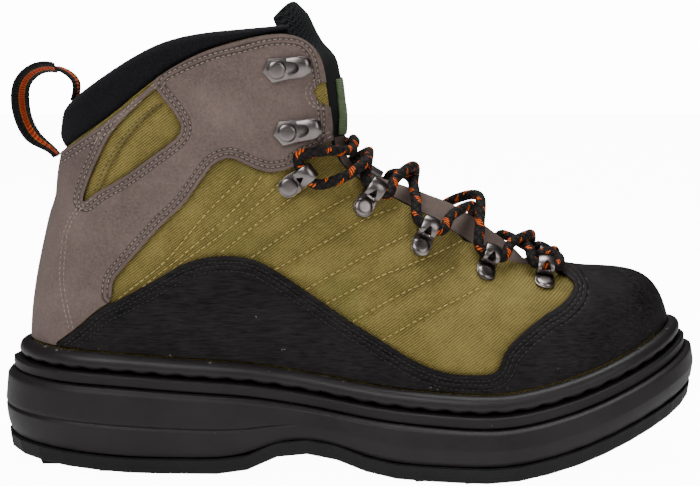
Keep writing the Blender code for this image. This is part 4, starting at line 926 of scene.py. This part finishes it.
waveShares = (
    (0.091, 0.068), (0.123, 0.126), (0.156, 0.190), (0.179, 0.218), (0.233, 0.291), (0.273, 0.346),
    (0.314, 0.372), (0.362, 0.374), (0.395, 0.349), (0.437, 0.303), (0.494, 0.240), (0.543, 0.192),
    (0.587, 0.144), (0.620, 0.121), (0.654, 0.115))
capShares = (
    (0.695, 0.124), (0.709, 0.179), (0.733, 0.221), (0.762, 0.251), (0.791, 0.267), (0.808, 0.286),
    (0.813, 0.302), (0.805, 0.324), (0.791, 0.347))
quarterShares = (
    (0.171, 0.235), (0.174, 0.277), (0.191, 0.326), (0.218, 0.396), (0.243, 0.458), (0.273, 0.525),
    (0.301, 0.611), (0.315, 0.648), (0.334, 0.668), (0.351, 0.659), (0.370, 0.645), (0.390, 0.639),
    (0.408, 0.649), (0.421, 0.664), (0.431, 0.690), (0.455, 0.719), (0.469, 0.749), (0.500, 0.790))
windowShares = (
    (0.239, 0.857), (0.209, 0.799), (0.173, 0.711), (0.155, 0.639), (0.143, 0.584), (0.132, 0.504),
    (0.156, 0.542), (0.189, 0.587), (0.232, 0.660), (0.253, 0.696), (0.267, 0.725), (0.271, 0.751),
    (0.261, 0.794), (0.242, 0.846))
topShares = (
    (0.060, 0.600), (0.098, 0.646), (0.147, 0.716), (0.169, 0.750), (0.203, 0.810), (0.228, 0.858), (0.236, 0.878),
    (0.243, 0.905), (0.255, 0.921), (0.286, 0.957), (0.317, 0.985), (0.352, 1.008), (0.380, 1.032), (0.412, 1.048),
    (0.436, 1.046), (0.452, 1.022), (0.4595, 0.985), (0.462, 0.955), (0.466, 0.900), (0.4690, 0.850),
    (0.4700, 0.800), (0.4670, 0.755))
counterShares = (
    (0.140, 0.520), (0.115, 0.461), (0.103, 0.410), (0.098, 0.340), (0.096, 0.259), (0.102, 0.183), (0.111, 0.112))
hemShares = ((0.240, 0.815), (0.216, 0.769), (0.187, 0.694), (0.168, 0.626), (0.155, 0.570), (0.147, 0.530))
quiltShares = (
    ((0.179, 0.221), (0.246, 0.348), (0.302, 0.496), (0.355, 0.618)),
    ((0.197, 0.233), (0.280, 0.389), (0.349, 0.535), (0.379, 0.624)),
    ((0.255, 0.325), (0.322, 0.436), (0.379, 0.553), (0.419, 0.649)),
    ((0.321, 0.382), (0.379, 0.494), (0.441, 0.614)),
    ((0.362, 0.374), (0.441, 0.514), (0.501, 0.602)),
    ((0.394, 0.348), (0.471, 0.465), (0.520, 0.538), (0.565, 0.579)),
    ((0.437, 0.303), (0.512, 0.421), (0.581, 0.504)),
    ((0.464, 0.271), (0.533, 0.369), (0.597, 0.432), (0.667, 0.489)),
    ((0.501, 0.234), (0.567, 0.331), (0.642, 0.410)),
    ((0.541, 0.192), (0.607, 0.283), (0.677, 0.352)),
)
ankleShares = (
    (0.449, 0.892), (0.4545, 0.915), (0.462, 0.926), (0.492, 0.930), (0.492, 0.850), (0.466, 0.858), (0.456, 0.866))
ankleRowShares = ((0.4655, 0.846), (0.4525, 0.855), (0.4445, 0.892), (0.4505, 0.920), (0.4600, 0.936))
upperLook = {"gap": 0.0003, "overlay": 0.0014, "canvas": 0.0010, "lining": 0.0009, "liningIn": 0.0007,
             "lineStep": 0.0015, "quiltDepth": 0.0011, "quiltWidth": 0.0021, "quiltShade": 0.0014, "puff": 0.00025,
             "puffReach": 0.005, "sink": 0.0005, "sinkFrom": 0.0005, "edgeReach": 0.003, "edgeShade": 0.0016,
             "hemDepth": 0.0008, "hemWidth": 0.0011, "hemFold": 0.0026, "deepest": 0.00125}

# Soft creases of the worn-in upper: how deep, how wide, and the line in the side view
creases = (
    (0.0012, 0.0075, ((0.395, 0.700), (0.360, 0.712), (0.318, 0.740), (0.285, 0.775))),
    (0.0009, 0.0080, ((0.440, 0.880), (0.405, 0.865), (0.365, 0.868))),
    (0.0008, 0.0070, ((0.355, 0.960), (0.365, 0.880), (0.345, 0.800))),
    (0.0008, 0.0080, ((0.150, 0.420), (0.190, 0.500), (0.235, 0.560))),
    (0.0007, 0.0060, ((0.085, 0.560), (0.105, 0.580), (0.125, 0.620))),
    (0.0011, 0.0060, ((0.655, 0.395), (0.640, 0.300), (0.655, 0.210))),
    (0.0008, 0.0050, ((0.715, 0.330), (0.705, 0.260), (0.722, 0.190))),
    (0.0007, 0.0085, ((0.560, 0.500), (0.535, 0.400), (0.540, 0.310))),
    (0.0008, 0.0100, ((0.300, 0.300), (0.380, 0.290), (0.450, 0.220))),
    (0.0006, 0.0070, ((0.840, 0.300), (0.862, 0.230), (0.868, 0.150))),
)

# the small swell beside each crease, and how far from the boot's middle plane the creases begin
creaseRim = {"share": 0.22, "away": 1.9, "ridge": (0.008, 0.016)}


def crease(thing):
    # presses the creases in, and gives how far each point went
    points = places(thing)
    side = points[:, [0, 2]]
    lift = np.zeros(len(points))
    for depth, width, line in creases:
        away = distanceTo(side, sideLine(line, 0.002)) / width
        lift -= depth * (np.exp(-away**2) - creaseRim["share"] * np.exp(-(away - creaseRim["away"]) ** 2))
    lift *= ease(*creaseRim["ridge"], abs(points[:, 1]))
    putPlaces(thing, points + normalsOf(thing) * lift[:, None])
    return lift


# where the first face of a skin lies, how squarely it faces the side, and the sharpest bend that a skin runs over
skinStart = {"ahead": 0.02, "heights": (0.09, 0.15), "facing": 0.8, "bend": 55}


def skinSheet(name, outer=True):
    # the CAD upper's outside or inside face as an open sheet
    thing = copyOf("upper", name)
    way = -1 if outer else 1
    low, high = skinStart["heights"]
    seed = next(face.index for face in thing.data.polygons if abs(face.center.x) < skinStart["ahead"]
                and low < face.center.z < high and face.center.y < 0 and face.normal.y * way > skinStart["facing"])
    take(thing)
    for polygon in thing.data.polygons:
        polygon.select = polygon.index == seed
    bpy.context.tool_settings.mesh_select_mode = (False, False, True)
    bpy.ops.object.mode_set(mode="EDIT")
    bpy.ops.mesh.faces_select_linked_flat(sharpness=math.radians(skinStart["bend"]))
    bpy.ops.mesh.select_all(action="INVERT")
    bpy.ops.mesh.delete(type="FACE")
    bpy.ops.mesh.select_all(action="SELECT")
    bpy.ops.mesh.delete_loose()
    bpy.ops.object.mode_set(mode="OBJECT")
    return thing


def cutWith(thing, outline, operation):
    far = boot["far"]
    cutBy(thing, prism("cutter", [(x, -far, z) for x, z in outline], (0, 2 * far, 0)), operation)


def footLine(first, last):
    # the overlays' lower edge, just over the rand
    xs = np.linspace(first, last, 40)
    return [(x, float(weltTop(x)) + overlayCut["foot"]) for x in xs]


# the cutters' outlines: the overlays' foot over the welt, the gap where they meet, and how far the cutters reach
overlayCut = {"foot": 0.0094, "seam": 0.0006, "ahead": 0.30, "behind": -0.13, "up": 0.27, "topBack": 0.30,
              "throatOver": 0.016, "heelUnder": 0.02}
seam, farUp = overlayCut["seam"], overlayCut["up"]
waveLine, topLine, quarterLine, toeLine = (
    sideLine(shares, upperLook["lineStep"]) for shares in (waveShares, topShares, quarterShares, waveShares + capShares)
)
windowLine = sideLine(windowShares, upperLook["lineStep"], closed=True)[:-1]
ankleOutline = [sidePoint(*share) for share in ankleShares]
toeOutline = np.array([*map(tuple, toeLine), (toeLine[-1][0], farUp), (overlayCut["ahead"], farUp),
                       *footLine(toeLine[0][0], overlayCut["ahead"])[::-1]])
behind = waveLine[waveLine[:, 0] < quarterLine[0][0]] + (-seam / 2, seam)
topBack = topLine[topLine[:, 0] < sidePoint(overlayCut["topBack"], 0)[0]]
quarterOutline = np.array([*map(tuple, behind), *map(tuple, quarterLine),
                           (quarterLine[-1][0] + overlayCut["throatOver"], farUp),
                           (topBack[-1][0], farUp), *map(tuple, topBack[::-1]),
                           (overlayCut["behind"], topBack[0][1] - overlayCut["heelUnder"]),
                           *footLine(overlayCut["behind"], waveLine[0][0] - seam)])

skin = skinSheet("canvasUpper")
subdivide(skin, 3)
creased = crease(skin)
points, outwards = places(skin), normalsOf(skin)
side = points[:, [0, 2]]
covered = isInside(side, toeOutline) | (isInside(side, quarterOutline) & ~isInside(side, windowLine)
                                           & ~isInside(side, ankleOutline))
edges = distanceTo(side, np.vstack([toeLine, quarterLine, windowLine]))
inward = ease(upperLook["sinkFrom"], upperLook["edgeReach"], edges) * covered
quiltLines = [sideLine(shares) for shares in quiltShares]
toQuilt = distanceTo(side, np.vstack(quiltLines))
trough = -upperLook["quiltDepth"] * np.exp(-(toQuilt / upperLook["quiltWidth"]) ** 2)
trough += upperLook["puff"] * (1 - np.exp(-(toQuilt / upperLook["puffReach"]) ** 2))
# the window's hem: a trough along its fold, and a band behind it; both are darkened with the canvas's painted shade
# colour
hemLine = sideLine(hemShares)
toHem = distanceTo(side, hemLine + (upperLook["hemFold"], 0.0))
hemTrough = np.exp(-(toHem / upperLook["hemWidth"]) ** 2)
hemEdge = hemLine[np.argsort(hemLine[:, 1])]
foldX = np.interp(side[:, 1], hemEdge[:, 1], hemEdge[:, 0]) + upperLook["hemFold"]
hemBand = (side[:, 0] < foldX) & isInside(side, windowLine)
lift = trough * ~covered * np.clip(edges / upperLook["edgeReach"], 0.2, 1) - upperLook["sink"] * inward
lift -= upperLook["hemDepth"] * hemTrough * ~covered
lift = np.maximum(lift, -upperLook["deepest"] - creased)
putPlaces(skin, points + outwards * lift[:, None])
# painted shade for the canvas: along the quilt lines and the hem, over the hem's band, and beside the overlays' edges
quiltShade = np.exp(-(toQuilt / upperLook["quiltShade"]) ** 2)
record(skin, "quiltAndHemShade", np.maximum(quiltShade, hemTrough * 2.0, hemBand * 0.8) * ~covered)
record(skin, "shade", np.exp(-edges / upperLook["edgeShade"]))
quiltedTree = treeOf(skin)
modify(skin, "SOLIDIFY", thickness=upperLook["canvas"], offset=-1)
dress(skin, canvasFinish, "upper", angle=60)
print("canvas", len(skin.data.polygons))

lining = skinSheet("innerLining", outer=False)
subdivide(lining, 1)
putPlaces(lining, places(lining) + normalsOf(lining) * upperLook["liningIn"])
modify(lining, "SOLIDIFY", thickness=upperLook["lining"], offset=-1)
dress(lining, liningFinish, slot="upper", angle=60)


def overlay(name, material, node, outline, holes=()):
    thing = skinSheet(name)
    subdivide(thing, 3)
    crease(thing)
    putPlaces(thing, places(thing) + normalsOf(thing) * upperLook["gap"])
    modify(thing, "SOLIDIFY", thickness=upperLook["overlay"], offset=1, use_even_offset=True)
    cutWith(thing, outline, "INTERSECT")
    for hole in holes:
        cutWith(thing, hole, "DIFFERENCE")
    modify(thing, "WELD", merge_threshold=2e-5)
    flatPlaces = places(thing)[:, [0, 2]]
    line = toeLine if node == "toe_rand" else np.vstack([quarterLine, windowLine, topLine])
    record(thing, "edgeGap", distanceTo(flatPlaces, line))
    foot = flatPlaces[:, 1] - weltTop(flatPlaces[:, 0]) - overlayCut["foot"]
    record(thing, "footGap", np.maximum(foot, 0))
    return dress(thing, material, node, angle=50)


toeRand = overlay("blackToeRand", hideFinish, "toe_rand", toeOutline)
quarter = overlay("taupeQuarter", nubuckFinish, "quarter_panel", quarterOutline, [windowLine, ankleOutline])
print("overlays", len(toeRand.data.polygons), len(quarter.data.polygons))


# Stitches: small sunk pieces of thread along rows on the outside

stitch = {"pitch": 0.0024, "length": 0.0018, "thread": 0.00027, "rings": 4, "sides": 5, "longest": 2.5, "past": 0.02}
quiltStitch = {"pitch": 0.0031, "length": 0.0025, "radius": 0.00026}
topRowGaps = (0.0022, 0.0044)
rowShift = (0.0020, 0.0)
hemRowShifts = (0.0, 0.0021)


def stitchShape(length, radius):
    # one stitch along +X whose ends dive under the surface at z = 0
    rings, sides = stitch["rings"], stitch["sides"]
    shape = []
    for k in range(rings):
        share = k / (rings - 1) * 2 - 1
        height = radius * (0.75 - 1.5 * share * share)
        size = radius * (1 - 0.35 * share * share)
        for j in range(sides):
            turn = 2 * math.pi * j / sides
            shape.append((share * length / 2, size * math.cos(turn), height + size * math.sin(turn)))
    ends = [tuple(range(sides))[::-1], tuple(range((rings - 1) * sides, rings * sides))]
    return np.array(shape), ends + tubeFaces(rings, sides)


def sew(name, rows, tree, material, slot, pitch=stitch["pitch"], length=stitch["length"], radius=stitch["thread"]):
    # rows of stitches on both sides of the boot, each laid on what its two ends meet from outside
    shape, shapeFaces = stitchShape(length, radius)
    allPoints, allFaces = [], []
    for row in rows:
        lengths = runAlong(row)
        for way in (-1, 1):
            for at in np.arange(pitch / 2, lengths[-1], pitch):
                ends = []
                for step in (-length / 2, length / 2):
                    x, z = (np.interp(at + step, lengths, row[:, k]) for k in (0, 1))
                    hit = tree.ray_cast(Vector((x, way * boot["far"], z)), Vector((0, -way, 0)))
                    if hit[0] is not None:
                        ends.append(hit)
                if len(ends) < 2 or (ends[0][0] - ends[1][0]).length > length * stitch["longest"]:
                    continue
                if min(ends[0][0].y * way, ends[1][0].y * way) < -stitch["past"]:
                    continue
                out = (ends[0][1] + ends[1][1]).normalized()
                if out.y * way < 0:
                    out.negate()
                ahead = (ends[1][0] - ends[0][0])
                stretch = ahead.length / length
                ahead.normalize()
                across = out.cross(ahead).normalized()
                out = ahead.cross(across)
                turn = np.array([ahead * stretch, across, out])
                middle = np.array((ends[0][0] + ends[1][0]) / 2)
                start = len(allPoints) * len(shape)
                allPoints.append(shape @ turn + middle)
                allFaces += [tuple(start + k for k in face) for face in shapeFaces]
    mesh = bpy.data.meshes.new(name)
    mesh.from_pydata([tuple(point) for point in np.vstack(allPoints)], [], allFaces)
    thing = addObject(name, mesh)
    return dress(thing, material, slot=slot, angle=80)


sew("toeRandStitches", [besideLine(toeLine, -gap) for gap in toeRowGaps], treeOf(toeRand), blackThread, "toe_rand")
quarterRows = [besideLine(quarterLine, gap) for gap in panelRowGaps]
for gap in panelRowGaps:
    row = besideLine(windowLine, gap)
    inside = isInside(row, windowLine).mean() > 0.5  # the rows lie on the leather, not in the window
    quarterRows.append(besideLine(windowLine, -gap) if inside else row)
counterLine, ankleLine = sideLine(counterShares), sideLine(ankleRowShares)
quarterRows += [counterLine, counterLine + rowShift]
quarterRows += [besideLine(topLine, -gap) for gap in topRowGaps]
quarterRows += [ankleLine, ankleLine - rowShift]
sew("quarterStitches", quarterRows, treeOf(quarter), taupeThread, "quarter_panel")
sew("hemStitches", [hemLine + (shift, 0.0) for shift in hemRowShifts], quiltedTree, darkOliveThread, "upper")
sew("quiltStitches", quiltLines, quiltedTree, oliveThread, "upper", **quiltStitch)
print("stitches")


# Collar, tongue, label and pull loop

collar = softCopy("collar", "paddedCollar", 70, 0.6, 2)
dress(collar, neopreneFinish, "collar")

# heights of the binding and the black cloth; how far the shin end's middle stands forward at each height, and how
# much its top is rounded; half the width of the taupe middle at two places along the boot
tongueLook = {"binding": 0.1885, "black": 0.1510, "blur": 0.0008,
              "swellHeights": (0.170, 0.180, 0.188, 0.196, 0.206, 0.212),
              "swell": (0.0, 0.0014, 0.0036, 0.0050, 0.0042, 0.0012), "swellSide": (0.004, 0.026), "arch": 0.0030,
              "archHeights": (0.190, 0.203), "archSide": (0.001, 0.024), "taupeAlong": (0.06, 0.17),
              "taupeHalf": (0.0175, 0.0105), "toeSwing": 0.010, "swingAlong": (0.36, 0.86)}


def blurred(edge, values):
    return ease(edge - tongueLook["blur"], edge + tongueLook["blur"], values)


tongue = softCopy("tongue", "laceTongue", 60, 0.7, 3)
points = places(tongue)
swell = np.interp(points[:, 2], tongueLook["swellHeights"], tongueLook["swell"])
points[:, 0] += swell * (1 - ease(*tongueLook["swellSide"], abs(points[:, 1])))
flank = np.clip((abs(points[:, 1]) - tongueLook["archSide"][0]) / tongueLook["archSide"][1], 0, 1)
points[:, 2] += tongueLook["arch"] * ease(*tongueLook["archHeights"], points[:, 2]) * np.sin(flank**1.6 * math.pi)
putPlaces(tongue, points)
along = (points[:, 0] - boot["heelBack"]) / boot["soleLength"]
middleY = tongueLook["toeSwing"] * ease(*tongueLook["swingAlong"], along)
record(tongue, "zone", blurred(tongueLook["black"], points[:, 2]) + blurred(tongueLook["binding"], points[:, 2]))
half = np.interp(points[:, 0], tongueLook["taupeAlong"], tongueLook["taupeHalf"])
record(tongue, "side", blurred(half, abs(points[:, 1] - middleY)))
dress(tongue, tongueCloth(), "tongue")

labelLook = {"width": 0.66, "deepest": -0.0006, "highest": 0.0010}  # width is a share of the solid's
label = softCopy("tongue_label", "bareLabel", 50, 0.9, 2)
solidTree, clothTree = treeOf(nodes["tongue"]), treeOf(tongue)
fitted = []
for x, y, z in places(label):
    # narrower than its solid, and laid on the cloth again
    narrowY = y * labelLook["width"]
    before = solidTree.ray_cast(Vector((boot["far"], y, z)), Vector((-1, 0, 0)))[0]
    cloth = clothTree.ray_cast(Vector((boot["far"], narrowY, z)), Vector((-1, 0, 0)))[0]
    height = min(max(x - before.x, labelLook["deepest"]), labelLook["highest"]) if before else 0.0
    fitted.append((cloth.x + height if cloth else x, narrowY, z))
putPlaces(label, fitted)
dress(label, labelWeave(), "tongue_label")

# the webbing's free part leans towards the heel at its foot, and is turned so that one edge opens
pullLook = {"flare": 0.28, "flareReach": 0.012, "depth": 0.010, "lean": 0.0026, "leanReach": 0.009, "startTurn": 1.2,
            "turnRadius": 0.013}
pull = softCopy("pull_loop", "pullLoop", 50, 0.9, 2)
points = places(pull)
back = points[:, 0] < points[:, 0].max() - pullLook["depth"]
foot = points[:, 2].min()
points[:, 0] += back * pullLook["lean"] * (1 - ease(foot, foot + pullLook["leanReach"], points[:, 2]))
middle = points.mean(axis=0)
outward = points[:, [0, 2]] - middle[[0, 2]]
reach = np.linalg.norm(outward, axis=1)[:, None]
flare = pullLook["flare"] * back * ease(0.0, pullLook["flareReach"], points[:, 2] - foot)
points[:, [0, 2]] -= outward / reach * (points[:, 1] * flare)[:, None]
putPlaces(pull, points)
turns = np.arctan2(points[:, 2] - middle[2], points[:, 0] - middle[0])
record(pull, "run", np.mod(turns + pullLook["startTurn"], 2 * math.pi) * pullLook["turnRadius"])
dress(pull, pullWebbing(), "pull_loop")
print("collar and tongue")


# Sole: the CAD pieces, rounded and finished

# the rand's height over the welt, the scallops of its lower edge and the shares of its height where they fade
scallops = {"randHeight": 0.0088, "pitch": 0.0109, "rise": 0.0019, "sharpness": 0.6, "fade": (0.02, 0.42),
            "rimStep": 0.004}
rand = copyOf("rand", "stitchedRand")
subdivide(rand, 3)
rimPoints = np.array([vertex.co for vertex in nodes["welt"].data.vertices])
centre = rimPoints.mean(axis=0)
rimAngles = np.arctan2(rimPoints[:, 1] - centre[1], rimPoints[:, 0] - centre[0])
rim = rimPoints[np.argsort(rimAngles)][:, :2]
rim = rim[np.concatenate([[True], np.linalg.norm(np.diff(rim, axis=0), axis=1) > scallops["rimStep"]])]
rim = smoothLine(rim, 0.001, closed=True)
rimRun = runAlong(rim)
points = places(rand)
level = (points[:, 2] - weltTop(points[:, 0])) / scallops["randHeight"]
phase = rimRun[nearest(points[:, :2], rim)[1]] / rimRun[-1] * round(rimRun[-1] / scallops["pitch"])
arch = abs(np.sin(phase * math.pi)) ** scallops["sharpness"]
points[:, 2] += (1 - ease(*scallops["fade"], level)) * (1 - arch) * scallops["rise"]
putPlaces(rand, points)
record(rand, "level", level)
dress(rand, randFinish, "rand", angle=60)
for node, name, material in (("welt", "soleWelt", weltFinish), ("midsole", "soleBlock", blockFinish)):
    dress(softCopy(node, name, 28, 0.55, 3), material, node)
for node, material in (("outsole", treadFinish), ("insole", feltFinish)):
    nodes[node].data.materials.clear()
    nodes[node].data.materials.append(material)
print("sole")


# Floor and light

studio = {"floor": 6.0, "floorColour": (0.90, 0.90, 0.90), "floorMottle": (0.80, 0.80, 0.80), "mottle": 0.4,
          "floorGlow": 12.0, "floorBounce": (0.02, 0.02, 0.02), "sky": 0.50, "ground": 0.16, "horizon": (-0.4, 0.9),
          "backdrop": 14.0, "aim": (0.08, 0, 0.09)}
take()
bpy.ops.mesh.primitive_plane_add(size=studio["floor"], location=(0, 0, 0))
floor = bpy.context.object
floor.name = "studioFloor"
paleFloor = Finish("paleFloor", Emission_Strength=studio["floorGlow"])
# bright where the camera sees it, and dim to the boot, so that it doesn't light the sole from below
seenFloor = paleFloor.node("ShaderNodeLightPath", output="Is Camera Ray")
paleFloor.feed(paleFloor.shader.inputs["Emission Color"],
               paleFloor.mix(seenFloor, studio["floorBounce"], (1.0, 1.0, 1.0)))
mottle = paleFloor.noise(studio["mottle"], 3, 0.5)
floorColour = paleFloor.mix(mottle * 0.05, studio["floorColour"], studio["floorMottle"])
floor.data.materials.append(paleFloor.finish(floorColour, 0.9))

# the world lights the boot softly from above, and is white behind it
world = bpy.data.worlds.new("studioWorld")
bpy.context.scene.world = world
world.use_nodes = True
air = Nodes(world.node_tree)
around = world.node_tree.nodes["Background"]
height = air.axes(air.node("ShaderNodeTexCoord", output="Generated"))[2]
air.feed(around.inputs["Strength"], air.limited(height, *studio["horizon"], studio["ground"], studio["sky"]))
backdrop = air.node("ShaderNodeBackground", {}, [(1.0, 1.0, 1.0, 1), studio["backdrop"]])
seenAir = air.node("ShaderNodeLightPath", output="Is Camera Ray")
either = air.node("ShaderNodeMixShader", {}, [seenAir, Wire(air, around.outputs[0]), backdrop])
air.feed(world.node_tree.nodes["World Output"].inputs[0], either)

lamps = (
    {"name": "keySoft", "place": (-0.45, -1.10, 1.10), "size": 0.8, "power": 13.0},
    {"name": "fillSoft", "place": (0.95, -0.90, 0.60), "size": 0.6, "power": 3.5},
    {"name": "topSoft", "place": (0.10, 0.25, 1.30), "size": 0.7, "power": 13.0},
)
for lamp in lamps:
    take()
    bpy.ops.object.light_add(type="AREA", location=lamp["place"])
    light = bpy.context.object
    light.name = lamp["name"]
    light.data.size = lamp["size"]
    light.data.energy = lamp["power"]
    aim = Vector(studio["aim"]) - Vector(lamp["place"])
    light.rotation_euler = aim.to_track_quat("-Z", "Y").to_euler()
print("studio")
